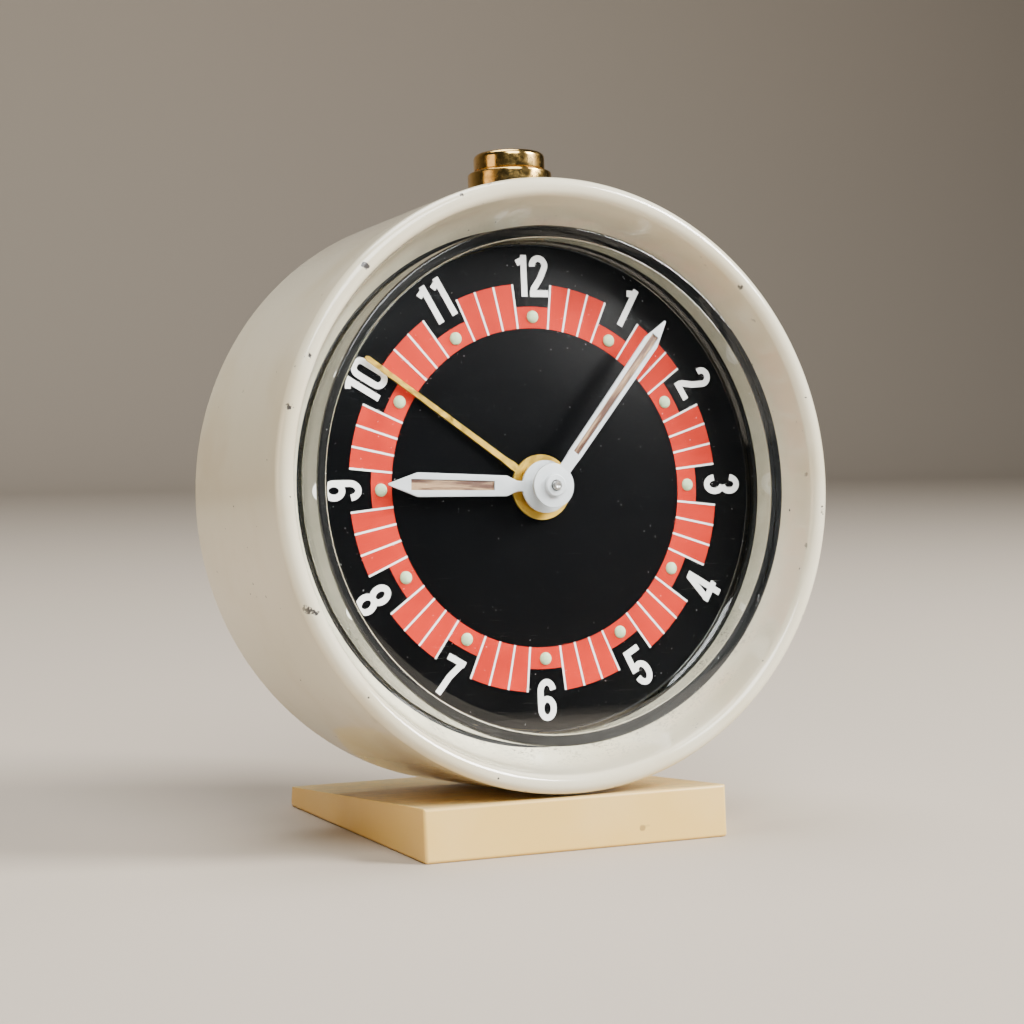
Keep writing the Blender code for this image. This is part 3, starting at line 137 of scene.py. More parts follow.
def arc(centre: Point, radius: float, start: float, end: float, steps: int,
        stretch: float = 1.0) -> Outline:
    """Return points along an arc.

    Args:
        centre: The arc's centre.
        radius: Its radius across.
        start: The first bearing in degrees.
        end: The last bearing in degrees.
        steps: How many chords it has.
        stretch: How much taller than wide it is.

    Returns:
        The points from start to end.
    """
    points = []
    for step in range(steps + 1):
        angle = math.radians(start + (end - start) * step / steps)
        points.append((centre[0] + radius * math.cos(angle),
                       centre[1] + radius * stretch * math.sin(angle)))
    return points


def circle(radius: float, points: int = 64, centre: Point = (0.0, 0.0)) -> Outline:
    """Return a round outline."""
    return arc(centre, radius, 0.0, 360.0 - 360.0 / points, points - 1)


def turned_by(outline: Iterable[Point], degrees: float) -> Outline:
    """Return an outline turned about the drum's axis."""
    cos, sin = math.cos(math.radians(degrees)), math.sin(math.radians(degrees))
    return [(x * cos - y * sin, x * sin + y * cos) for x, y in outline]


def finish_mesh(piece: bpy.types.Object, name: str, place: Matrix) -> bpy.types.Object:
    """Merge doubles, turn the faces outwards, smooth the piece and set it into the row frame.

    Args:
        piece: The mesh object, in the drum's space.
        name: The piece's name.
        place: The matrix that takes it into the row frame.

    Returns:
        The piece, at the origin, with its place in its mesh.
    """
    pick(piece)
    bpy.ops.object.mode_set(mode="EDIT")
    bpy.ops.mesh.select_all(action="SELECT")
    bpy.ops.mesh.remove_doubles(threshold=2.5 * TINY)
    bpy.ops.mesh.dissolve_degenerate(threshold=TINY / 2.0)
    bpy.ops.mesh.normals_make_consistent(inside=False)
    bpy.ops.object.mode_set(mode="OBJECT")
    bpy.ops.object.shade_smooth_by_angle(angle=SMOOTH_ANGLE)
    bpy.ops.object.transform_apply(location=True, rotation=True, scale=True)
    piece.matrix_world = place
    bpy.ops.object.transform_apply(location=True, rotation=True, scale=True)
    piece.name = piece.data.name = name
    return piece


def turn_profile(name: str, rings: Sequence[Point], segments: int = 128, closed: bool = False,
                 place: Matrix = DRUM) -> bpy.types.Object:
    """Turn a piece ring by ring, each ring extruded from the one before and scaled to its radius.

    Args:
        name: The piece's name.
        rings: (radius, height) pairs along the profile. A radius of nought closes on the axis.
        segments: Sides of each ring.
        closed: Whether the last ring joins the first.
        place: The matrix that takes the piece into the row frame.

    Returns:
        The finished piece.
    """
    deselect()
    path = [(max(radius, TINY), height) for radius, height in rings]
    if closed:
        path.append(path[0])
    radius, height = path[0]
    bpy.ops.mesh.primitive_circle_add(vertices=segments, radius=radius, location=(0, 0, height))
    piece = bpy.context.object
    bpy.ops.object.mode_set(mode="EDIT")
    bpy.ops.mesh.select_all(action="SELECT")
    for next_radius, next_height in path[1:]:
        bpy.ops.mesh.extrude_region_move(
            TRANSFORM_OT_translate={"value": (0.0, 0.0, next_height - height)})
        ratio = next_radius / radius
        bpy.ops.transform.resize(value=(ratio, ratio, 1.0), center_override=(0, 0, next_height))
        radius, height = next_radius, next_height
    bpy.ops.object.mode_set(mode="OBJECT")
    return finish_mesh(piece, name, place)


def cut_plate(name: str, outlines: Sequence[Outline], front: float, back: float,
              edge: float = 0.0, place: Matrix = DRUM) -> bpy.types.Object:
    """Cut a flat piece from sheet, with its edges rounded over.

    Args:
        name: The piece's name.
        outlines: Closed outlines; one inside another is a hole.
        front: Height of its front face along the drum's axis.
        back: Height of its back face.
        edge: Radius of its rounded edges.
        place: The matrix that takes the piece into the row frame.

    Returns:
        The finished piece.
    """
    deselect()
    curve = bpy.data.curves.new(name, "CURVE")
    curve.dimensions = "2D"
    curve.fill_mode = "BOTH"
    curve.extrude = (front - back) / 2.0 - edge
    curve.bevel_depth = edge
    curve.bevel_resolution = 2
    curve.offset = -edge
    for outline in outlines:
        spline = curve.splines.new("POLY")
        spline.points.add(len(outline) - 1)
        spline.use_cyclic_u = True
        for point, (x, y) in zip(spline.points, outline):
            point.co = (x, y, 0.0, 1.0)
    piece = bpy.data.objects.new(name, curve)
    bpy.context.scene.collection.objects.link(piece)
    pick(piece)
    bpy.ops.object.convert(target="MESH")
    piece = bpy.context.object
    piece.location.z = (front + back) / 2.0
    return finish_mesh(piece, name, place)


def combine(body: bpy.types.Object, tool: bpy.types.Object, operation: str) -> bpy.types.Object:
    """Join or cut a piece with another and drop the other.

    Args:
        body: The piece that is kept.
        tool: The solid that is used up.
        operation: UNION or DIFFERENCE.

    Returns:
        The changed piece.
    """
    pick(body)
    modifier = body.modifiers.new(operation.lower(), "BOOLEAN")
    modifier.operation = operation
    modifier.solver = "EXACT"
    modifier.object = tool
    bpy.ops.object.modifier_apply(modifier=modifier.name)
    bpy.data.objects.remove(tool, do_unlink=True)
    pick(body)
    bpy.ops.object.shade_smooth_by_angle(angle=SMOOTH_ANGLE)
    return body


# Finishes -------------------------------------------------------------------------------------

class Graph:
    """A material's node tree, with short ways to add and join nodes."""

    def __init__(self, name: str) -> None:
        """Start a material with a Principled shader and the drum's own coordinates."""
        self.material = bpy.data.materials.new(name)
        self.material.use_nodes = True
        self.tree = self.material.node_tree
        self.shader = self.tree.nodes["Principled BSDF"]
        self.output = self.tree.nodes["Material Output"]
        self._object = None
        self._drum = None

    def add(self, kind: str, **settings: object) -> bpy.types.Node:
        """Add a node and set its properties, or its sockets where a name is a socket's.

        Args:
            kind: The node's type without its ShaderNode prefix.
            **settings: Properties and sockets; a socket value that is a socket is linked.

        Returns:
            The node.
        """
        node = self.tree.nodes.new("ShaderNode" + kind)
        for key, value in settings.items():
            if hasattr(node, key):
                setattr(node, key, value)
        for key, value in settings.items():
            if not hasattr(node, key):
                self.set(node.inputs[key.replace("_", " ")], value)
        return node

    def set(self, socket: bpy.types.NodeSocket, value: object) -> None:
        """Link a socket to another one, or give it a value."""
        if isinstance(value, bpy.types.NodeSocket):
            self.tree.links.new(value, socket)
        elif isinstance(value, tuple) and socket.type == "RGBA":
            socket.default_value = (*value[:3], 1.0)
        else:
            socket.default_value = value

    def object_coords(self) -> bpy.types.NodeSocket:
        """Return the coordinates of the row frame."""
        if self._object is None:
            self._object = self.add("TexCoord").outputs["Object"]
        return self._object

    def drum_coords(self) -> bpy.types.NodeSocket:
        """Return coordinates in the drum's own space."""
        if self._drum is None:
            place = self.add("Mapping", vector_type="TEXTURE", Vector=self.object_coords())
            place.inputs["Location"].default_value = DRUM.translation
            place.inputs["Rotation"].default_value = DRUM.to_euler()
            self._drum = place.outputs["Vector"]
        return self._drum

    def drum_radius(self) -> bpy.types.NodeSocket:
        """Return the distance from the drum's axis."""
        across = self.add("VectorMath", operation="MULTIPLY")
        self.set(across.inputs[0], self.drum_coords())
        across.inputs[1].default_value = (1.0, 1.0, 0.0)
        length = self.add("VectorMath", operation="LENGTH")
        self.set(length.inputs[0], across.outputs[0])
        return length.outputs["Value"]

    def math(self, operation: str, first: object, second: object = 0.0,
             clamp: bool = False) -> bpy.types.NodeSocket:
        """Return the result of a Math node."""
        node = self.add("Math", operation=operation, use_clamp=clamp)
        self.set(node.inputs[0], first)
        self.set(node.inputs[1], second)
        return node.outputs[0]

    def ramp(self, value: object, low: float, high: float, start: float = 0.0,
             end: float = 1.0) -> bpy.types.NodeSocket:
        """Return a value mapped smoothly from one range to another and clamped."""
        node = self.add("MapRange", interpolation_type="SMOOTHSTEP")
        for socket, item in zip(node.inputs, (value, low, high, start, end)):
            self.set(socket, item)
        return node.outputs[0]

    def noise(self, scale: float, detail: float = 3.0, vector: object = None,
              roughness: float = 0.5) -> bpy.types.NodeSocket:
        """Return a noise value at a scale in cycles per metre."""
        node = self.add("TexNoise", Vector=vector or self.object_coords(), Scale=scale,
                        Detail=detail, Roughness=roughness)
        return node.outputs[0]

    def mix(self, factor: object, first: object, second: object) -> bpy.types.NodeSocket:
        """Return two colours mixed by a factor."""
        node = self.add("Mix", data_type="RGBA")
        for socket, item in zip((node.inputs[0], node.inputs[6], node.inputs[7]),
                                (factor, first, second)):
            self.set(socket, item)
        return node.outputs[2]

    def bump(self, height: object, distance: float, strength: float = 1.0) -> None:
        """Raise the surface by a height map, in metres."""
        node = self.add("Bump", Height=height, Distance=distance, Strength=strength)
        self.set(self.shader.inputs["Normal"], node.outputs["Normal"])

    def surface(self, **sockets: object) -> None:
        """Set the Principled shader's sockets by their names."""
        for name, value in sockets.items():
            self.set(self.shader.inputs[name.replace("_", " ")], value)


@dataclass(frozen=True)
class Lacquer:
    """Plain lacquer, ink or plastic with a slightly uneven colour and surface."""

    name: str
    colour: Colour
    shade: Colour
    roughness: float = 0.4
    grain: float = 900.0
    relief: float = 0.000004
    coat: float = 0.0
    specular: float = 0.5

    def make(self) -> bpy.types.Material:
        """Return the material."""
        graph = Graph(self.name)
        mottle = graph.ramp(graph.noise(self.grain / 6.0), 0.35, 0.7)
        fine = graph.noise(self.grain * 6.0, 4.0)
        graph.surface(Base_Color=graph.mix(mottle, self.colour, self.shade),
                      Roughness=graph.ramp(fine, 0.2, 0.8, self.roughness * 0.85,
                                           self.roughness * 1.15),
                      Coat_Weight=self.coat, Coat_Roughness=0.08,
                      Specular_IOR_Level=self.specular)
        graph.bump(fine, self.relief)
        return graph.material


@dataclass(frozen=True)
class Enamel:
    """Stove enamel on the drum: yellowed ivory, with painted shade over the funnel and dirt low in it, chipped
    along the lip.
    """

    colour: Colour = (0.84, 0.78, 0.59)
    yellowed: Colour = (0.72, 0.61, 0.38)
    # Darker colour painted over the funnel as painted shade in the recess.
    dull: Colour = (0.55, 0.52, 0.39)
    dirt: Colour = (0.10, 0.085, 0.06)
    bare: Colour = (0.035, 0.03, 0.028)
    funnel_edge: float = 0.0365
    lip_radius: float = 0.0411

    def make(self) -> bpy.types.Material:
        """Return the material."""
        graph = Graph("ivory_enamel")
        place = graph.drum_coords()
        split = graph.add("SeparateXYZ", Vector=place)
        radius = graph.drum_radius()
        cloud = graph.noise(70.0, 4.0)
        base = graph.mix(graph.ramp(cloud, 0.42, 0.72, 0.0, 0.45), self.colour, self.yellowed)
        in_funnel = graph.ramp(radius, self.funnel_edge + 0.0032, self.funnel_edge, 0.0, 1.0)
        film = graph.ramp(graph.noise(160.0, 5.0, roughness=0.6), 0.3, 0.7, 0.45, 0.95)
        # Painted shade: the recessed funnel is mixed towards a darker colour, mottled by noise.
        base = graph.mix(graph.math("MULTIPLY", in_funnel, film), base, self.dull)
        low = graph.ramp(split.outputs["Y"], -0.004, -0.030, 0.12, 1.0)
        specks = graph.ramp(graph.noise(2100.0, 5.0, roughness=0.75), 0.50, 0.60)
        patches = graph.ramp(graph.noise(260.0, 4.0), 0.40, 0.60)
        grime = graph.math("MULTIPLY", graph.math("MULTIPLY", in_funnel, low),
                           graph.math("MULTIPLY", specks, patches))
        base = graph.mix(graph.math("MULTIPLY", grime, 0.95), base, self.dirt)
        off_lip = graph.math("ABSOLUTE", graph.math("SUBTRACT", radius, self.lip_radius))
        at_lip = graph.ramp(off_lip, 0.0022, 0.0006)
        front = graph.ramp(split.outputs["Z"], -0.0015, -0.0005)
        worn = graph.math("MULTIPLY", at_lip, front)
        islands = graph.ramp(graph.noise(330.0, 3.0), 0.675, 0.69)
        ragged = graph.ramp(graph.noise(2400.0, 3.0), 0.40, 0.50)
        chip = graph.math("MULTIPLY", graph.math("MULTIPLY", islands, ragged), worn)
        pin_holes = graph.ramp(graph.noise(900.0, 2.0), 0.755, 0.77)
        chip = graph.math("MAXIMUM", chip, pin_holes)
        base = graph.mix(chip, base, self.bare)
        fine = graph.noise(5200.0, 2.0)
        peel = graph.noise(420.0, 2.0)
        rough = graph.math("ADD", graph.ramp(fine, 0.2, 0.8, 0.12, 0.17),
                           graph.math("MULTIPLY", graph.math("MAXIMUM", grime, chip), 0.4))
        graph.surface(Base_Color=base, Roughness=rough, Coat_Weight=0.7, Coat_Roughness=0.06,
                      IOR=1.52)
        relief = graph.math("SUBTRACT", graph.math("MULTIPLY", peel, 0.35),
                            graph.math("MULTIPLY", chip, 3.0))
        graph.bump(relief, 0.00002, 0.6)
        return graph.material


@dataclass(frozen=True)
class Acrylic:
    """Clear acrylic, polished, with hairline scratches and a little dust on its face."""

    ior: float = 1.49
    tint: Colour = (0.985, 0.99, 0.985)
    dusty: Colour = (0.60, 0.61, 0.60)
    wall_radius: float = 0.0349

    def make(self) -> bpy.types.Material:
        """Return the material, which lets a lamp's light straight through to the dial."""
        graph = Graph("clear_acrylic")
        place = graph.add("Mapping", Vector=graph.drum_coords())
        place.inputs["Rotation"].default_value = (0.0, 0.0, math.radians(28.0))
        place.inputs["Scale"].default_value = (1.0, 24.0, 1.0)
        hair = graph.ramp(graph.noise(190.0, 2.0, place.outputs["Vector"]), 0.70, 0.73)
        dust = graph.ramp(graph.noise(2600.0, 2.0), 0.74, 0.80)
        marks = graph.math("MAXIMUM", graph.math("MULTIPLY", hair, 0.4), dust)
        wall = graph.ramp(graph.drum_radius(), self.wall_radius - 0.0003, self.wall_radius)
        film = graph.mix(wall, self.tint, self.dusty)
        graph.surface(Base_Color=film, Roughness=graph.ramp(marks, 0.0, 1.0, 0.012, 0.35),
                      Transmission_Weight=1.0, IOR=self.ior, Specular_IOR_Level=0.28)
        graph.bump(marks, 0.000004, 0.5)
        through = graph.add("BsdfTransparent", Color=(0.97, 0.975, 0.97))
        rays = graph.add("LightPath")
        mixed = graph.add("MixShader")
        graph.set(mixed.inputs[0], rays.outputs["Is Shadow Ray"])
        graph.set(mixed.inputs[1], graph.shader.outputs[0])
        graph.set(mixed.inputs[2], through.outputs[0])
        graph.set(graph.output.inputs["Surface"], mixed.outputs[0])
        return graph.material


@dataclass(frozen=True)
class Metal:
    """Bare or plated metal, with brushing or tarnish."""

    name: str
    colour: Colour
    tarnish: Colour
    roughness: float = 0.25
    brushing: float = 0.0
    tarnish_amount: float = 0.3

    def make(self) -> bpy.types.Material:
        """Return the material."""
        graph = Graph(self.name)
        vector = graph.object_coords()
        if self.brushing:
            stretch = graph.add("Mapping", Vector=vector)
            stretch.inputs["Scale"].default_value = (1.0, 1.0, self.brushing)
            vector = stretch.outputs["Vector"]
        lines = graph.noise(1400.0, 4.0, vector)
        stain = graph.ramp(graph.noise(260.0, 5.0, roughness=0.65), 0.46, 0.70, 0.0,
                           self.tarnish_amount)
        graph.surface(Base_Color=graph.mix(stain, self.colour, self.tarnish), Metallic=1.0,
                      Roughness=graph.math("ADD", graph.ramp(
                          lines, 0.2, 0.8, self.roughness * 0.7, self.roughness * 1.3),
                          graph.math("MULTIPLY", stain, 0.3)))
        graph.bump(lines, 0.000003 if self.brushing else 0.0000015)
        return graph.material


@dataclass(frozen=True)
class AgedPlastic:
    """The foot's moulded plastic: cream, grey with dust on top, with a few brown marks."""

    colour: Colour = (0.90, 0.59, 0.16)
    pale: Colour = (0.92, 0.63, 0.21)
    dust: Colour = (0.36, 0.31, 0.22)
    mark: Colour = (0.20, 0.12, 0.05)

    def make(self) -> bpy.types.Material:
        """Return the material."""
        graph = Graph("cream_plastic")
        cloud = graph.ramp(graph.noise(60.0, 4.0), 0.38, 0.68)
        base = graph.mix(cloud, self.colour, self.pale)
        normal = graph.add("NewGeometry").outputs["Normal"]
        up = graph.add("SeparateXYZ", Vector=normal).outputs["Z"]
        film = graph.ramp(graph.noise(420.0, 5.0, roughness=0.7), 0.30, 0.75, 0.25, 0.85)
        dusty = graph.math("MULTIPLY", graph.ramp(up, 0.7, 0.95), film)
        base = graph.mix(graph.math("MULTIPLY", dusty, 0.8), base, self.dust)
        marks = graph.ramp(graph.noise(210.0, 2.0), 0.735, 0.755)
        base = graph.mix(graph.math("MULTIPLY", marks, 0.6), base, self.mark)
        fine = graph.noise(4200.0, 3.0)
        graph.surface(Base_Color=base, Roughness=graph.ramp(fine, 0.2, 0.8, 0.34, 0.46),
                      Subsurface_Weight=0.06, Subsurface_Scale=0.002, Coat_Weight=0.1,
                      Coat_Roughness=0.3)
        graph.bump(fine, 0.000006)
        return graph.material


@dataclass(frozen=True)
class Lume:
    """Luminous paste: a matt, slightly lumpy filling."""

    name: str
    colour: Colour
    stain: Colour
    amount: float
    bearing: float | None = None

    def make(self) -> bpy.types.Material:
        """Return the material; a bearing draws its stains out along a hand."""
        graph = Graph(self.name)
        if self.bearing is None:
            stains = graph.noise(650.0, 4.0)
        else:
            along = graph.add("Mapping", vector_type="TEXTURE", Vector=graph.drum_coords())
            along.inputs["Rotation"].default_value = (0.0, 0.0, math.radians(-self.bearing))
            along.inputs["Scale"].default_value = (1.0, 9.0, 1.0)
            stains = graph.noise(1700.0, 3.0, along.outputs["Vector"])
        blotch = graph.ramp(stains, 0.40, 0.62, 0.0, self.amount)
        lumps = graph.noise(1800.0, 3.0)
        graph.surface(Base_Color=graph.mix(blotch, self.colour, self.stain),
                      Roughness=graph.ramp(lumps, 0.2, 0.8, 0.5, 0.7))
        graph.bump(lumps, 0.00003, 0.5)
        return graph.material


class Finish(Enum):
    """Every finish on the clock, by the record's material slot or by its use."""

    ENAMEL = "ivory_enamel"
    FOOT = "cream_plastic"
    CRYSTAL = "clear_acrylic"
    RUBBER = "black_rubber"
    DIAL = "black_dial_lacquer"
    HAND = "white_hand_lacquer"
    GOLD = "polished_brass"
    BRASS = "plate_brass"
    STEEL = "bright_steel"
    BLUED = "blued_spring_steel"
    BELL = "bell_steel"
    BLACK = "black_plastic"
    COVER = "satin_nickel"
    GILT = "satin_gilt"
    ORANGE_INK = "orange_ink"
    WHITE_INK = "white_ink"
    DOT_LUME = "dot_lume"
    HOUR_LUME = "hour_hand_lume"
    MINUTE_LUME = "minute_hand_lume"


MAKERS: dict[Finish, Callable[[], bpy.types.Material]] = {
    Finish.ENAMEL: Enamel().make,
    Finish.FOOT: AgedPlastic().make,
    Finish.CRYSTAL: Acrylic().make,
    Finish.RUBBER: Lacquer("black_rubber", (0.012, 0.012, 0.012), (0.02, 0.02, 0.02), 0.7).make,
    Finish.DIAL: Lacquer("black_dial_lacquer", (0.0006, 0.0008, 0.0012), (0.0012, 0.0014, 0.0018),
                         0.34, specular=0.07).make,
    Finish.HAND: Lacquer("white_hand_lacquer", (0.56, 0.59, 0.61), (0.50, 0.53, 0.55), 0.32,
                         coat=0.2).make,
    Finish.GOLD: Metal("polished_brass", (0.80, 0.52, 0.16), (0.28, 0.13, 0.03), 0.14,
                       tarnish_amount=0.55).make,
    Finish.BRASS: Metal("plate_brass", (0.70, 0.54, 0.27), (0.40, 0.28, 0.12), 0.3, 30.0).make,
    Finish.STEEL: Metal("bright_steel", (0.60, 0.60, 0.59), (0.30, 0.28, 0.25), 0.26, 30.0,
                        0.25).make,
    Finish.BLUED: Metal("blued_spring_steel", (0.09, 0.11, 0.17), (0.05, 0.05, 0.06), 0.3,
                        20.0).make,
    Finish.COVER: Metal("satin_nickel", (0.66, 0.63, 0.57), (0.45, 0.38, 0.26), 0.33, 1.0,
                        0.45).make,
    Finish.GILT: Metal("satin_gilt", (0.80, 0.52, 0.08), (0.55, 0.32, 0.04), 0.36,
                       tarnish_amount=0.4).make,
    Finish.BELL: Metal("bell_steel", (0.58, 0.58, 0.58), (0.3, 0.3, 0.3), 0.2).make,
    Finish.BLACK: Lacquer("black_plastic", (0.018, 0.018, 0.018), (0.03, 0.03, 0.03), 0.38).make,
    Finish.ORANGE_INK: Lacquer("orange_ink", (0.46, 0.017, 0.0045), (0.38, 0.013, 0.0035), 0.5,
                               specular=0.15).make,
    Finish.WHITE_INK: Lacquer("white_ink", (0.88, 0.88, 0.85), (0.82, 0.82, 0.79), 0.5).make,
    Finish.DOT_LUME: Lume("dot_lume", (0.46, 0.60, 0.36), (0.34, 0.44, 0.25), 0.5).make,
    Finish.HOUR_LUME: Lume("hour_hand_lume", (0.34, 0.21, 0.11), (0.07, 0.022, 0.008), 1.0,
                           HOUR_BEARING).make,
    Finish.MINUTE_LUME: Lume("minute_hand_lume", (0.34, 0.21, 0.11), (0.07, 0.022, 0.008), 1.0,
                             MINUTE_BEARING).make,
}
_made: dict[Finish, bpy.types.Material] = {}


def material(finish: Finish) -> bpy.types.Material:
    """Return a finish's material, made on first use."""
    if finish not in _made:
        _made[finish] = MAKERS[finish]()
    return _made[finish]


def dress(piece: bpy.types.Object, finish: Finish, body: str,
          stands_for: Sequence[str] = ()) -> bpy.types.Object:
    """Give a piece its finish and its body.

    Args:
        piece: The piece.
        finish: Its finish.
        body: The CAD body that it rides on.
        stands_for: CAD nodes that it replaces.

    Returns:
        The piece.
    """
    piece.data.materials.clear()
    piece.data.materials.append(material(finish))
    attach(piece, body)
    if stands_for:
        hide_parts(*stands_for)
    log.info("%s rides on %s in %s", piece.name, body, finish.value)
    return piece


# Case -----------------------------------------------------------------------------------------

@dataclass
class Case:
    """The enamelled drum, the foot it stands on and the back that closes it."""

    segments: int = 192
    wall: float = 0.0008
    lip_round: float = 0.00135
    funnel_width: float = 0.0060
    funnel_depth: float = 0.0076
    radius: float = field(default_factory=lambda: reach("case_shell"))
    length: float = field(default_factory=lambda: depth_range("case_shell")[1])
    foot_edge: float = 0.00045
    key_hole: float = 0.0019
    centre_hole: float = 0.00125
    alarm_hole: float = 0.0010
    slot_radius: float = 0.0070
    slot_half: float = 0.0007
    slot_swing: float = 30.7
    bead_inset: float = 0.0022
    bead_round: float = 0.0005

    def build(self) -> None:
        """Build every piece of the case."""
        self.build_drum()
        self.build_foot()
        self.build_back()

    def build_drum(self) -> None:
        """Turn the drum: a plain side, a rolled lip and a hollow funnel down to the crystal."""
        centre = (self.radius - self.lip_round, 0.0)
        inner = self.radius - self.funnel_width
        side = [(self.radius - 0.00025, -self.length), (self.radius, -self.length + 0.00025)]
        side += [(self.radius, -self.length * share) for share in (0.7, 0.4, 0.15)]
        lip = arc(centre, self.lip_round, 0.0, 168.0, 18)
        start = lip[-1]
        funnel = []
        for step in range(1, 13):
            share = step / 12.0
            hollow = 0.00045 * math.sin(math.pi * share)
            funnel.append((start[0] + (inner - start[0]) * share + hollow,
                           start[1] + (-self.funnel_depth - start[1]) * share - hollow))
        edge = arc((inner + self.wall / 2.0, -self.funnel_depth), self.wall / 2.0, 180.0, 360.0, 6)
        inside = [(centre[0] - self.lip_round + self.wall, -self.wall * 1.5),
                  (self.radius - self.wall, -2.5 * self.wall),
                  (self.radius - self.wall, -self.length)]
        drum = turn_profile("drum_shell", side + lip + funnel + edge + inside, self.segments,
                            closed=True)
        dress(drum, Finish.ENAMEL, "case", stands_for=["case_shell"])

    def build_foot(self) -> None:
        """Cut the wedge foot from its side outline and round its edges over."""
        low, high = (Vector(corner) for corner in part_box("foot_base"))
        corners = frame["nodes"]["foot_base"].data.vertices
        top = max(vertex.co.z for vertex in corners)
        lean = DRUM.to_euler().x
        tilt = math.pi / 2.0 - lean
        front, rear = low.y, high.y
        length = (rear - front - top * math.tan(tilt)) * math.cos(tilt)
        top_front = (front + top * math.tan(tilt), top)
        top_rear = (top_front[0] + length * math.cos(tilt), top - length * math.sin(tilt))
        outline = [(front, 0.0), (rear, 0.0), top_rear, top_front]
        stand = Matrix(((0, 0, 1, 0), (1, 0, 0, 0), (0, 1, 0, 0), (0, 0, 0, 1)))
        foot = cut_plate("wedge_foot", [outline], high.x, low.x, 0.0, stand)
        rounding = foot.modifiers.new("rounding", "BEVEL")
        rounding.width = self.foot_edge
        rounding.segments = 4
        rounding.limit_method = "ANGLE"
        pick(foot)
        bpy.ops.object.modifier_apply(modifier="rounding")
        bpy.ops.object.shade_smooth_by_angle(angle=SMOOTH_ANGLE)
        dress(foot, Finish.FOOT, "case", stands_for=["foot_base"])

    def build_back(self) -> None:
        """Cut the back cover, with an opening for each arbor, key and screw."""
        face, back = depth_range("back_cover")
        holes = [circle(self.key_hole, 32, axis_place("time_wind")),
                 circle(self.key_hole, 32, axis_place("alarm_wind")),
                 circle(self.centre_hole, 32),
                 circle(self.alarm_hole, 32, axis_place("alarm_set_turn"))]
        balance = axis_place("regulator_swing")
        start, end = 90.0 - self.slot_swing, 90.0 + self.slot_swing
        holes.append(arc(balance, self.slot_radius + self.slot_half, start, end, 16)
                     + arc(balance, self.slot_radius - self.slot_half, end, start, 16))
        cover = cut_plate("back_plate_cover", [circle(reach("back_cover"), 160)] + holes, -face,
                          -back, 0.00012)
        dress(cover, Finish.COVER, "case", stands_for=["back_cover"])
        middle = (reach("back_cover") - self.bead_inset, -back + 0.0001)
        bead = turn_profile("cover_bead", arc(middle, self.bead_round, 180.0, 360.0, 10), 160,
                            closed=True)
        dress(bead, Finish.COVER, "case")


# Back -----------------------------------------------------------------------------------------

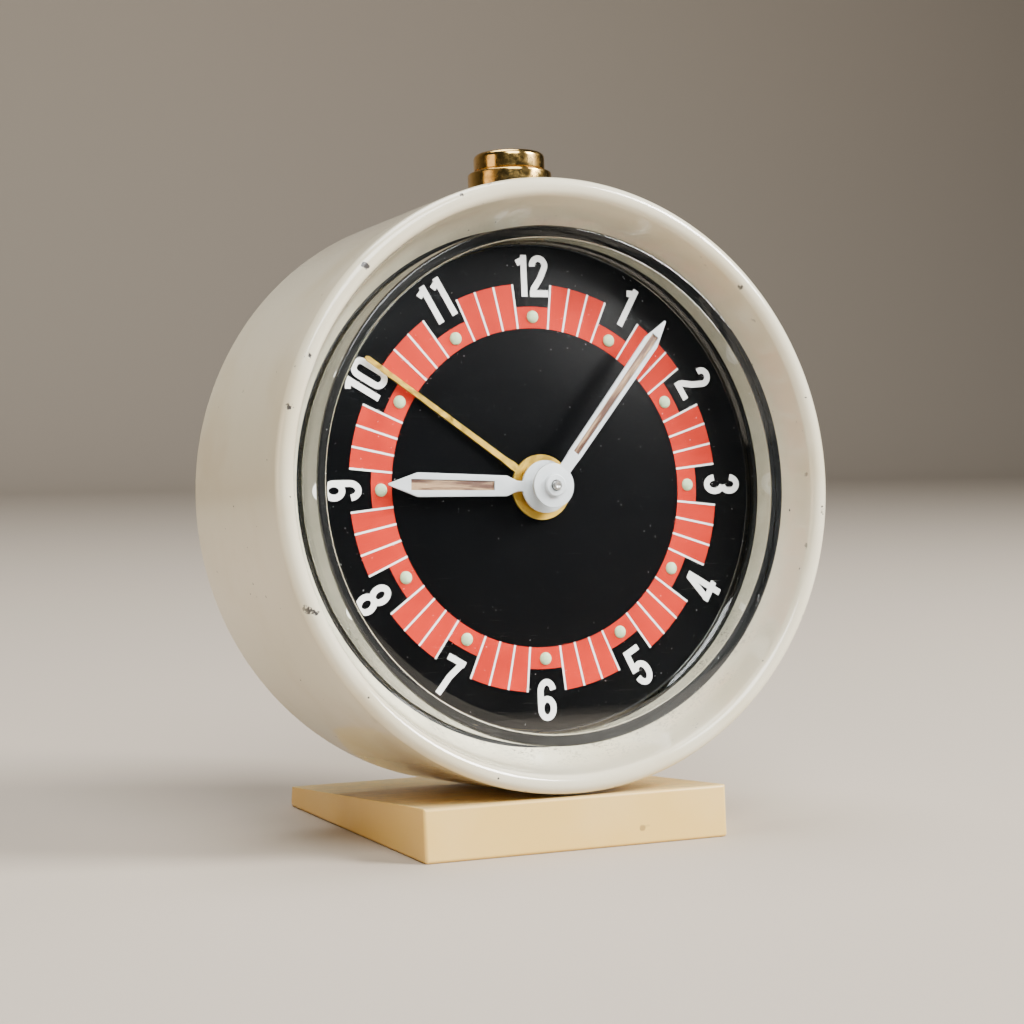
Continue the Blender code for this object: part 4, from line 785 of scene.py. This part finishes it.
@dataclass
class BackFittings:
    """Everything that stands on the back cover: screws, keys, knobs and printed marks."""

    hub_radius: float = 0.0028
    hub_front: float = 0.0334
    hub_length: float = 0.0040
    bow_reach: float = 0.00575
    wing: float = 0.00425
    bow_half: float = 0.0008
    bow_edge: float = 0.00055
    rib_depth: float = 0.00032
    ribs: int = 30
    shank: float = 0.0009
    head: float = 0.0018
    head_height: float = 0.0008
    slot_width: float = 0.0005
    arrow_radius: float = 0.0084
    arrow_half: float = 0.0002
    head_half: float = 0.0010
    sign_radius: float = 0.0078
    sign_half: float = 0.0007
    sign_stroke: float = 0.00013
    ink: float = 0.00003
    cover: float = field(default_factory=lambda: depth_range("back_cover")[1])

    def build(self) -> None:
        """Build the fittings."""
        for number, lean in enumerate((20.0, 74.0, -35.0), start=1):
            self.build_screw(f"back_cover_screw_{number}", lean)
        for name, body, turn in (("time", "time_key", "time_wind"),
                                 ("alarm", "alarm_key", "alarm_wind")):
            self.build_key(name, body, axis_place(turn))
        self.build_knob("time_set_knob", "minute_set", 0.0042)
        self.build_knob("alarm_set_knob", "alarm_setter", 0.0035)
        self.build_marks()

    def build_screw(self, node: str, lean: float) -> None:
        """Turn a cheese-head screw and saw its slot."""
        front, back = depth_range(node)
        place = DRUM @ Matrix.Translation((*node_middle(node), 0.0))
        under = back - self.head_height
        rings = [(0.0, -back), (self.head - 0.0003, -back),
                 (self.head - 0.0001, -back + 0.0001), (self.head, -back + 0.0003),
                 (self.head, -under), (self.shank, -under), (self.shank, -front), (0.0, -front)]
        screw = turn_profile(f"{node}_slotted", rings, 48, place=place)
        half, width = self.head * 1.2, self.slot_width / 2.0
        bar = turned_by([(-half, -width), (half, -width), (half, width), (-half, width)], lean)
        saw = cut_plate("saw", [bar], -back + 0.00035, -back - 0.0004, 0.0, place)
        combine(screw, saw, "DIFFERENCE")
        dress(screw, Finish.STEEL, "case", stands_for=[node])

    def build_key(self, name: str, body: str, axis: Point) -> None:
        """Turn a key's hub and blank its two-winged bow, with a hole in each wing."""
        place = DRUM @ Matrix.Translation((*axis, 0.0))
        end = self.hub_front + self.hub_length
        edge = 0.0004
        rings = [(0.0, -self.hub_front - 0.0001), (self.hub_radius - edge, -self.hub_front),
                 (self.hub_radius, -self.hub_front - edge),
                 (self.hub_radius, -end + edge), (self.hub_radius - edge, -end), (0.0, -end)]
        hub = turn_profile(f"{name}_key_hub", rings, 64, place=place)
        middle = end + self.wing
        waist = self.hub_radius * 0.72
        outline = [(waist, end - 0.0012)]
        outline += arc((self.bow_reach, middle), self.wing, -68.0, 110.0, 28)
        outline += [(0.0016, middle + self.wing * 0.50), (0.0, middle + self.wing * 0.44),
                    (-0.0016, middle + self.wing * 0.50)]
        outline += arc((-self.bow_reach, middle), self.wing, 70.0, 248.0, 28)
        outline += [(-waist, end - 0.0012)]
        eyes = [circle(0.0012, 28, (side * self.bow_reach, middle)) for side in (-1.0, 1.0)]
        upright = Matrix(((1, 0, 0, 0), (0, 0, 1, 0), (0, -1, 0, 0), (0, 0, 0, 1)))
        bow = cut_plate(f"{name}_key_bow", [outline, *eyes], self.bow_half, -self.bow_half,
                        self.bow_edge, place @ upright)
        combine(hub, bow, "UNION")
        dress(hub, Finish.STEEL, body, stands_for=[f"{name}_winding_key"])

    def build_knob(self, node: str, body: str, radius: float) -> None:
        """Cut a fluted knob with its end face set in."""
        front, back = depth_range(node)
        outline = []
        for step in range(self.ribs * 6):
            wave = abs(math.sin(math.pi * step / 6.0))
            outline.append(polar(radius - self.rib_depth * (1.0 - wave),
                                 360.0 * step / (self.ribs * 6)))
        place = DRUM @ Matrix.Translation((*node_middle(node), 0.0))
        knob = cut_plate(f"{node}_fluted", [outline], -front, -back, 0.00025, place)
        dish = turn_profile("dish", [(0.0, -back + 0.0004), (radius * 0.62, -back + 0.0004),
                                     (radius * 0.70, -back - 0.0002), (0.0, -back - 0.0002)],
                            64, place=place)
        combine(knob, dish, "DIFFERENCE")
        dress(knob, Finish.BLACK, body, stands_for=[node])

    def build_marks(self) -> None:
        """Print the winding arrows, and the signs at the ends of the regulator's slot."""
        shapes = []
        for turn in ("time_wind", "alarm_wind"):
            axis = axis_place(turn)
            outer = arc(axis, self.arrow_radius + self.arrow_half, 45.0, 135.0, 24)
            inner = arc(axis, self.arrow_radius - self.arrow_half, 135.0, 45.0, 24)
            head = [polar(self.arrow_radius + self.head_half, 135.0, axis),
                    polar(self.arrow_radius, 147.0, axis),
                    polar(self.arrow_radius - self.head_half, 135.0, axis)]
            shapes.append(outer + head + inner)
        balance = axis_place("regulator_swing")
        for bearing, bars in ((40.0, (0.0, 90.0)), (140.0, (0.0,))):
            x, y = polar(self.sign_radius, bearing, balance)
            half, width = self.sign_half, self.sign_stroke
            for lean in bars:
                bar = turned_by([(-half, -width), (half, -width), (half, width), (-half, width)],
                                lean)
                shapes.append([(x + a, y + b) for a, b in bar])
        for number, shape in enumerate(shapes):
            mark = cut_plate(f"back_mark_{number}", [shape], -self.cover - self.ink * 0.1,
                             -self.cover - self.ink)
            dress(mark, Finish.BLACK, "case")


# Dial -----------------------------------------------------------------------------------------

@dataclass
class Numeral:
    """One figure of the dial, drawn in strokes in a cell one unit high."""

    digit: str
    stroke: float = 0.152

    @property
    def width(self) -> float:
        """Return the width of the figure's cell."""
        return 0.335 if self.digit == "1" else 0.485

    def strokes(self) -> list[tuple[Outline, bool]]:
        """Return the figure's centre lines, each with whether it closes on itself."""
        half = self.stroke / 2.0
        left, right, middle = half, self.width - half, self.width / 2.0
        low, high = half, 1.0 - half
        bowl = middle - half
        top_stretch, low_stretch = 0.205 / bowl, 0.222 / bowl
        upper, lower = (middle, high - 0.205), (middle, low + 0.222)
        shapes = {
            "0": [(arc((middle, high - bowl), bowl, 0.0, 180.0, 12)
                   + arc((middle, low + bowl), bowl, 180.0, 360.0, 12), True)],
            "1": [([(right, 0.0), (right, 1.0)], False),
                  ([(right, 0.89), (0.07, 0.80)], False)],
            "2": [(arc((middle, high - bowl), bowl, 190.0, -22.0, 14)
                   + [(middle + 0.02, 0.42), (left + 0.02, 0.19), (left, 0.09)], False),
                  ([(0.0, low), (self.width, low)], False)],
            "3": [(arc(upper, bowl, 176.0, -78.0, 14, top_stretch), False),
                  (arc(lower, bowl, 82.0, -176.0, 14, low_stretch), False)],
            "4": [([(right - 0.05, 0.0), (right - 0.05, 1.0)], False),
                  ([(-0.01, 0.265), (self.width + 0.03, 0.265)], False),
                  ([(right - 0.09, 0.97), (0.065, 0.27)], False)],
            "5": [([(left - 0.02, high), (right + 0.05, high)], False),
                  ([(left + 0.03, 1.0), (left - 0.005, 0.42)], False),
                  (arc((middle, 0.315), bowl, 148.0, -172.0, 16, 0.24 / bowl), False)],
            "6": [(arc(lower, bowl, 0.0, 360.0, 20, low_stretch)[:-1], True),
                  (arc((middle, high - 0.22), bowl, 8.0, 180.0, 10, 0.22 / bowl)
                   + [(left, 0.3)], False)],
            "7": [([(0.0, high), (self.width, high)], False),
                  ([(right, high + 0.02), (middle + 0.005, 0.5), (left + 0.085, 0.0)], False)],
            "8": [(arc(upper, bowl - 0.012, 0.0, 360.0, 20, 0.205 / (bowl - 0.012))[:-1], True),
                  (arc(lower, bowl, 0.0, 360.0, 20, low_stretch)[:-1], True)],
        }
        if self.digit == "9":
            turned = Numeral("6", self.stroke).strokes()
            return [([(self.width - x, 1.0 - y) for x, y in line], loop) for line, loop in turned]
        return shapes[self.digit]

    def outlines(self) -> list[list[Outline]]:
        """Return, for each stroke, its outlines: one, or two where it is a ring."""
        return [self.widen(line, loop) for line, loop in self.strokes()]

    def widen(self, line: Outline, loop: bool) -> list[Outline]:
        """Return the two sides of a stroke as one closed outline, or as a ring's two.

        Args:
            line: The stroke's centre line.
            loop: Whether it closes on itself.

        Returns:
            The outlines.
        """
        sides: tuple[Outline, Outline] = ([], [])
        count = len(line)
        for index, (x, y) in enumerate(line):
            before = line[index - 1] if loop or index else (x, y)
            after = line[(index + 1) % count] if loop or index < count - 1 else (x, y)
            along = Vector((after[0] - before[0], after[1] - before[1])).normalized()
            shift = Vector((-along.y, along.x)) * self.stroke / 2.0
            sides[0].append((x + shift.x, y + shift.y))
            sides[1].append((x - shift.x, y - shift.y))
        if loop:
            return [sides[1], sides[0]]
        return [sides[0] + sides[1][::-1]]


@dataclass
class Dial:
    """The black dial and all that is printed or set on it."""

    ring_inner: float = 0.02250
    ring_outer: float = 0.02880
    block_outer: float = 0.02555
    line_width: float = 0.00028
    ink: float = 0.00003
    figure_middle: float = 0.02990
    figure_height: float = 0.00590
    figure_gap: float = 0.00045
    dot_circle: float = 0.02410
    dot_radius: float = 0.00090
    dot_height: float = 0.00045
    radius: float = field(default_factory=lambda: reach("dial_plate"))
    face: float = field(default_factory=lambda: -depth_range("dial_plate")[0])
    sheet: float = 0.0004

    def build(self) -> None:
        """Build the plate, its print and its luminous dots."""
        self.build_plate()
        self.build_ring()
        self.build_lines()
        self.build_figures()
        self.build_dots()

    def build_plate(self) -> None:
        """Turn the dial plate, with a hole for the hands' pipes, and set its two feet."""
        hole = 0.0033
        rim = self.radius
        profile = [(hole, self.face), (rim - 0.0002, self.face), (rim, self.face - 0.0001),
                   (rim, self.face - self.sheet), (hole, self.face - self.sheet)]
        plate = turn_profile("dial_disc", profile, 160, closed=True)
        back = depth_range("dial_plate")[1]
        for number, bearing in enumerate((100.0, 280.0)):
            foot = cut_plate(f"dial_foot_{number}", [circle(0.0008, 24, polar(0.02387, bearing))],
                             self.face - self.sheet / 2.0, -back, 0.0)
            combine(plate, foot, "UNION")
        dress(plate, Finish.DIAL, "case", stands_for=["dial_plate"])

    def build_ring(self) -> None:
        """Print the orange minute ring, lower where the hour figures stand."""
        outline: Outline = []
        for hour in range(12):
            middle = 90.0 - 30.0 * hour
            outline += [polar(self.block_outer, middle + 6.0 - 3.0 * step) for step in range(5)]
            outline += [polar(self.ring_outer, middle - 6.0 - 3.0 * step) for step in range(7)]
        ring = cut_plate("minute_ring", [outline, circle(self.ring_inner, 180)],
                         self.face + self.ink, self.face + self.ink * 0.1)
        dress(ring, Finish.ORANGE_INK, "case")

    def build_lines(self) -> None:
        """Print the white minute lines between the hours."""
        half = self.line_width / 2.0
        lines = []
        for minute in range(60):
            if minute % 5:
                bar = [(self.ring_inner, -half), (self.ring_outer, -half),
                       (self.ring_outer, half), (self.ring_inner, half)]
                lines.append(turned_by(bar, 90.0 - 6.0 * minute))
        piece = cut_plate("minute_lines", lines, self.face + 2.0 * self.ink,
                          self.face + 1.1 * self.ink)
        dress(piece, Finish.WHITE_INK, "case")

    def build_figures(self) -> None:
        """Print the hour figures: tops outwards above the middle, upright below it."""
        for hour in range(1, 13):
            upright = 4 <= hour <= 8
            digits = str(hour)
            scale = self.figure_height
            widths = [Numeral(digit).width * scale for digit in digits]
            start = -(sum(widths) + self.figure_gap * (len(digits) - 1)) / 2.0
            parts = []
            for place, digit in enumerate(digits):
                left = start + sum(widths[:place]) + self.figure_gap * place
                for stroke in Numeral(digit).outlines():
                    shapes = []
                    for outline in stroke:
                        cell = [(left + x * scale, (y - 0.5) * scale)
                                for x, y in outline]
                        if upright:
                            cell = turned_by(cell, 180.0)
                        cell = [(x, y + self.figure_middle) for x, y in cell]
                        shapes.append(turned_by(cell, -30.0 * hour))
                    parts.append(cut_plate(f"figure_{hour}_stroke", shapes,
                                           self.face + 2.0 * self.ink,
                                           self.face + 0.1 * self.ink))
            figure = parts[0]
            for other in parts[1:]:
                combine(figure, other, "UNION")
            figure.name = figure.data.name = f"figure_{hour}"
            dress(figure, Finish.WHITE_INK, "case")

    def build_dots(self) -> None:
        """Set a domed luminous dot at each hour."""
        rings = [(self.dot_radius * math.cos(math.radians(step * 10.0)),
                  self.face + self.ink + self.dot_height * math.sin(math.radians(step * 10.0)))
                 for step in range(10)]
        base = [(self.dot_radius, self.face + self.ink * 0.6)]
        floor = [(0.0, self.face + self.ink * 0.6)]
        for hour in range(12):
            x, y = polar(self.dot_circle, 90.0 - 30.0 * hour)
            place = DRUM @ Matrix.Translation((x, y, 0.0))
            dot = turn_profile(f"hour_dot_{hour}", floor + base + rings, 32, place=place)
            dress(dot, Finish.DOT_LUME, "case")


# Hands ----------------------------------------------------------------------------------------

@dataclass
class Hand:
    """A flat hand with a round hub and a window for luminous filling."""

    name: str
    node: str
    body: str
    bearing: float
    length: float
    hub: float
    neck: float
    half_width: float
    tip: float
    bore: float
    window: tuple[float, float] | None
    finish: Finish
    edge: float = 0.00008
    paste: Finish | None = None
    taper: float = 0.85

    def outline(self) -> Outline:
        """Return the hand's outline, pointing up the dial."""
        open_angle = math.degrees(math.asin(self.neck / self.hub))
        hub = arc((0.0, 0.0), self.hub, 90.0 + open_angle, 450.0 - open_angle, 48)
        blade = self.hub + 0.0008
        shoulder = self.length - self.tip
        right = [(self.neck, blade), (self.half_width * self.taper, blade + 0.0016),
                 (self.half_width, shoulder)]
        point = [(0.00012, self.length - 0.0001), (-0.00012, self.length - 0.0001)]
        return hub + right + point + [(-x, y) for x, y in reversed(right)]

    def slot(self, shrink: float = 0.0) -> Outline:
        """Return the window's outline, with the same width of metal all round it."""
        start, end = self.window
        near = self.half_width * 0.38 - shrink
        far = self.half_width * 0.46 - shrink
        return [(-near, start + shrink), (near, start + shrink), (far, end - shrink),
                (-far, end - shrink)]

    def build(self) -> None:
        """Cut the hand from sheet and fill its window."""
        front, back = depth_range(self.node)
        sheet_front = back - 0.0004
        place = DRUM @ Matrix.Rotation(math.radians(-self.bearing), 4, "Z")
        outlines = [self.outline(), circle(self.bore, 40)]
        if self.window:
            outlines.append(self.slot())
        hand = cut_plate(self.name, outlines, -sheet_front, -back, self.edge, place)
        dress(hand, self.finish, self.body, stands_for=[self.node])
        if self.window:
            paste = cut_plate(f"{self.name}_lume", [self.slot(0.00002)], -sheet_front - 0.00022,
                              -back + 0.00002, 0.00003, place)
            dress(paste, self.paste, self.body)


@dataclass
class Hands:
    """The three hands, and the stack of collars at their middle."""

    alarm_bearing: float = 305.0
    collar_radius: float = 0.00155
    collar_bore: float = 0.0008
    collar_height: float = 0.0007
    tip_radius: float = 0.00068

    def build(self) -> None:
        """Build the hands from the dial outwards."""
        Hand("alarm_pointer", "alarm_hand", "alarm_hand_set", self.alarm_bearing, 0.0318, 0.0046,
             0.00055, 0.00033, 0.0005, 0.0030, None, Finish.GILT, 0.0, taper=1.3).build()
        Hand("hour_pointer", "hour_hand", "hour_set", HOUR_BEARING, 0.0240, 0.0037, 0.00072,
             0.00168, 0.0044, 0.0016, (0.0080, 0.0206), Finish.HAND,
             paste=Finish.HOUR_LUME).build()
        Hand("minute_pointer", "minute_hand", "minute_set", MINUTE_BEARING, 0.0300, 0.0031,
             0.00092, 0.00120, 0.0040, 0.00075, (0.0058, 0.0272), Finish.HAND,
             paste=Finish.MINUTE_LUME).build()
        self.build_collar()

    def build_collar(self) -> None:
        """Turn the collar riveted on the minute hand, and the hollow end of its arbor."""
        face = -(depth_range("minute_hand")[1] - 0.0004)
        top = face + self.collar_height
        rim = [(self.collar_radius, face - 0.0001), (self.collar_radius, top - 0.00015),
               (self.collar_radius - 0.00015, top), (self.collar_bore, top),
               (self.collar_bore, face - 0.0001)]
        collar = turn_profile("minute_collar", rim, 64, closed=True)
        dress(collar, Finish.HAND, "minute_set")
        end = -depth_range("centre_arbor")[0]
        tip = turn_profile("arbor_tip", [(self.tip_radius, end - 0.0003),
                                         (self.tip_radius, end + 0.00004),
                                         (0.00055, end + 0.00014), (0.00040, end + 0.00015),
                                         (0.00022, end + 0.00004), (0.0, end + 0.00003)], 32)
        dress(tip, Finish.STEEL, "minute_set")


# Button ---------------------------------------------------------------------------------------

@dataclass
class Button:
    """The brass stop button and the collar that it slides in."""

    radius: float = 0.0051
    travel_gap: float = 0.0003
    collar_wall: float = 0.0006
    collar_height: float = 0.0029
    plunger: float = 0.0012
    bottom: float = 0.0027
    height: float = 0.0030
    socket: float = 0.0018
    round: float = 0.0008

    def frame(self) -> Matrix:
        """Return the button's own space, with +Z up out of the drum."""
        up = -Vector(joint("stop_press")["axis"]).normalized()
        across = Vector((1.0, 0.0, 0.0))
        back = up.cross(across)
        turn = Matrix((across, back, up)).transposed().to_4x4()
        low, high = (Vector(corner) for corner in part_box("alarm_stop_button"))
        middle = (low + high) / 2.0
        local = DRUM.inverted() @ middle
        base = DRUM @ Vector((0.0, reach("case_shell"), local.z))
        return Matrix.Translation(base) @ turn

    def build(self) -> None:
        """Turn the collar and the cap."""
        place = self.frame()
        bore = self.radius + self.travel_gap
        outside = bore + self.collar_wall
        collar = [(self.plunger, 0.0003), (outside, 0.0003), (outside, self.collar_height - 0.0003)]
        collar += arc((outside - 0.0003, self.collar_height - 0.0003), 0.0003, 0.0, 90.0, 5)[1:]
        collar += arc((bore + 0.0001, self.collar_height - 0.0001), 0.0001, 90.0, 180.0, 3)
        collar += [(bore, 0.0009), (self.plunger, 0.0009)]
        ring = turn_profile("stop_collar", collar, 96, closed=True, place=place)
        dress(ring, Finish.GOLD, "case", stands_for=["button_collar"])
        top = self.bottom + self.height
        inside = self.radius - 0.0010
        roof = self.bottom + self.socket
        cap = [(0.0, roof), (inside, roof), (inside, self.bottom),
               (self.radius - 0.0001, self.bottom), (self.radius, self.bottom + 0.0001)]
        groove = self.collar_height + 0.0003
        cap += [(self.radius, groove - 0.00008), (self.radius - 0.00008, groove),
                (self.radius, groove + 0.00008)]
        cap += arc((self.radius - self.round, top - self.round), self.round, 0.0, 90.0, 8)
        cap += [(self.radius * 0.5, top + 0.00008), (0.0, top + 0.0001)]
        knob = turn_profile("stop_cap", cap, 96, place=place)
        dress(knob, Finish.GOLD, "stop_button", stands_for=["alarm_stop_button"])


# Crystal --------------------------------------------------------------------------------------

@dataclass
class Crystal:
    """The clear cup over the dial."""

    dome: float = 0.0004
    front: float = 0.0010
    face: float = 0.0011
    wall: float = 0.0015
    corner: float = 0.00045
    flange_radius: float = field(default_factory=lambda: reach("crystal"))
    flange_width: float = 0.0016
    flange_front: float = 0.0084
    back: float = field(default_factory=lambda: depth_range("crystal")[1])

    def build(self) -> None:
        """Turn the cup from the middle of its face, over the corner and back up inside."""
        outer = self.flange_radius - self.flange_width
        inner = outer - self.wall
        rings: Outline = []
        for step in range(25):
            share = step / 24.0
            rings.append(((outer - self.corner) * share,
                          -self.front + self.dome * (1.0 - share * share)))
        corner = arc((outer - self.corner, -self.front - self.corner), self.corner, 90.0, 0.0, 8)
        rings += corner[1:]
        rings += [(outer, -self.flange_front + 0.0002), (outer + 0.0002, -self.flange_front),
                  (self.flange_radius, -self.flange_front), (self.flange_radius, -self.back),
                  (inner, -self.back)]
        inside_front = -self.front - self.face
        fillet = 0.0003
        rings += arc((inner - fillet, inside_front - fillet), fillet, 0.0, 90.0, 6)
        for step in range(24, -1, -1):
            share = step / 24.0
            rings.append(((inner - fillet) * share,
                          inside_front + self.dome * (1.0 - share * share)))
        self.build_gasket(outer)
        cup = turn_profile("crystal_cup", rings, 256)
        dress(cup, Finish.CRYSTAL, "case", stands_for=["crystal"])

    def build_gasket(self, outer: float) -> None:
        """Turn the black gasket between the crystal's flange and the edge of the funnel."""
        near, far = outer + 0.00025, self.flange_radius - 0.0002
        under, face = -self.flange_front + 0.00005, -self.flange_front + 0.0003
        ring = turn_profile("crystal_gasket", [(near, under), (near, face), (far, face),
                                               (far, under)], 192, closed=True)
        dress(ring, Finish.RUBBER, "case")


# Stage ----------------------------------------------------------------------------------------

@dataclass
class Studio:
    """A pale floor, soft lamps and the camera."""

    lens: float = 81.96
    camera_offset: tuple[float, float, float] = (-0.14747, -0.28525, 0.01119)
    azimuth: float = -26.04
    elevation: float = -2.68
    sweep: float = 1.2
    apron: float = 1.15
    bend: float = 0.05

    def build(self) -> None:
        """Set the floor, the lamps and the camera."""
        self.build_floor()
        self.build_lamps()
        self.build_camera()

    def build_floor(self) -> None:
        """Lay a large pale floor that runs up behind the clock."""
        deselect()
        bpy.ops.mesh.primitive_plane_add(size=2.0 * self.sweep, location=(0.0, 0.0, 0.0))
        floor = bpy.context.object
        floor.name = "floor"
        bpy.ops.object.mode_set(mode="EDIT")
        bpy.ops.mesh.select_all(action="SELECT")
        bpy.ops.transform.resize(value=(3.0, 1.0, 1.0), center_override=(0.0, 0.0, 0.0))
        bpy.ops.transform.translate(value=(0.0, self.sweep - self.apron, 0.0))
        bpy.ops.mesh.select_mode(type="EDGE")
        bpy.ops.mesh.select_all(action="DESELECT")
        bpy.ops.object.mode_set(mode="OBJECT")
        rear = max(floor.data.edges, key=lambda edge: sum(
            floor.data.vertices[corner].co.y for corner in edge.vertices))
        rear.select = True
        bpy.ops.object.mode_set(mode="EDIT")
        for step in range(12):
            lean = math.radians(90.0 * (step + 1) / 12.0)
            bpy.ops.mesh.extrude_region_move(TRANSFORM_OT_translate={
                "value": (0.0, self.bend * math.cos(lean), self.bend * math.sin(lean))})
        bpy.ops.mesh.extrude_region_move(TRANSFORM_OT_translate={"value": (0.0, 0.0, 2.0)})
        bpy.ops.object.mode_set(mode="OBJECT")
        bpy.ops.object.shade_smooth_by_angle(angle=SMOOTH_ANGLE)
        paper = bpy.data.materials.new("pale_paper")
        paper.use_nodes = True
        shader = paper.node_tree.nodes["Principled BSDF"]
        shader.inputs["Base Color"].default_value = (0.46, 0.40, 0.33, 1.0)
        shader.inputs["Roughness"].default_value = 0.8
        shader.inputs["Specular IOR Level"].default_value = 0.2
        floor.data.materials.append(paper)

    def build_lamps(self) -> None:
        """Hang a soft key on the right, a fill on the left and a broad top light."""
        aim = DRUM.translation
        lamps = (("key", (0.70, -0.50, 0.60), 0.36, 23.0, (1.0, 0.985, 0.96)),
                 ("fill", (-0.95, -0.05, 0.22), 0.45, 1.7, (1.0, 0.72, 0.44)),
                 ("top", (-0.05, 0.20, 1.0), 0.6, 9.0, (1.0, 1.0, 1.0)),
                 ("front", (-0.12, -0.72, 0.80), 0.60, 13.0, (0.97, 0.99, 1.0)))
        for name, place, size, power, colour in lamps:
            lamp = bpy.data.lights.new(name, "AREA")
            lamp.size = size
            lamp.energy = power
            lamp.color = colour
            holder = bpy.data.objects.new(name, lamp)
            holder.location = place
            holder.rotation_euler = (aim - Vector(place)).to_track_quat("-Z", "Y").to_euler()
            bpy.context.scene.collection.objects.link(holder)
        world = bpy.data.worlds.new("studio")
        world.use_nodes = True
        background = world.node_tree.nodes["Background"]
        background.inputs["Color"].default_value = (0.62, 0.66, 0.68, 1.0)
        background.inputs["Strength"].default_value = 0.04
        bpy.context.scene.world = world

    def build_camera(self) -> None:
        """Stand the camera where the clock is seen from its front left."""
        lens = bpy.data.cameras.new("camera")
        lens.lens = self.lens
        lens.sensor_width = 36.0
        lens.clip_start = 0.01
        camera = bpy.data.objects.new("camera", lens)
        camera.location = DRUM.translation + Vector(self.camera_offset)
        camera.rotation_euler = Euler((math.radians(90.0 + self.elevation), 0.0,
                                       math.radians(self.azimuth)))
        bpy.context.scene.collection.objects.link(camera)
        bpy.context.scene.camera = camera


def dress_movement() -> None:
    """Give every carried-over CAD node the finish of its slot."""
    slots = {part["node"]: part["material_slot"] for part in frame["record"]["subparts"]}
    for name, node in frame["nodes"].items():
        finish = material(Finish(slots[name]))
        node.data.materials.clear()
        node.data.materials.append(finish)


def main() -> None:
    """Build the clock piece by piece."""
    logging.basicConfig(level=logging.INFO, format="%(name)s: %(message)s")
    studio = Studio()
    dress_movement()
    Case().build()
    BackFittings().build()
    Dial().build()
    Hands().build()
    Button().build()
    Crystal().build()
    studio.build()


if __name__ == "__main__":
    main()
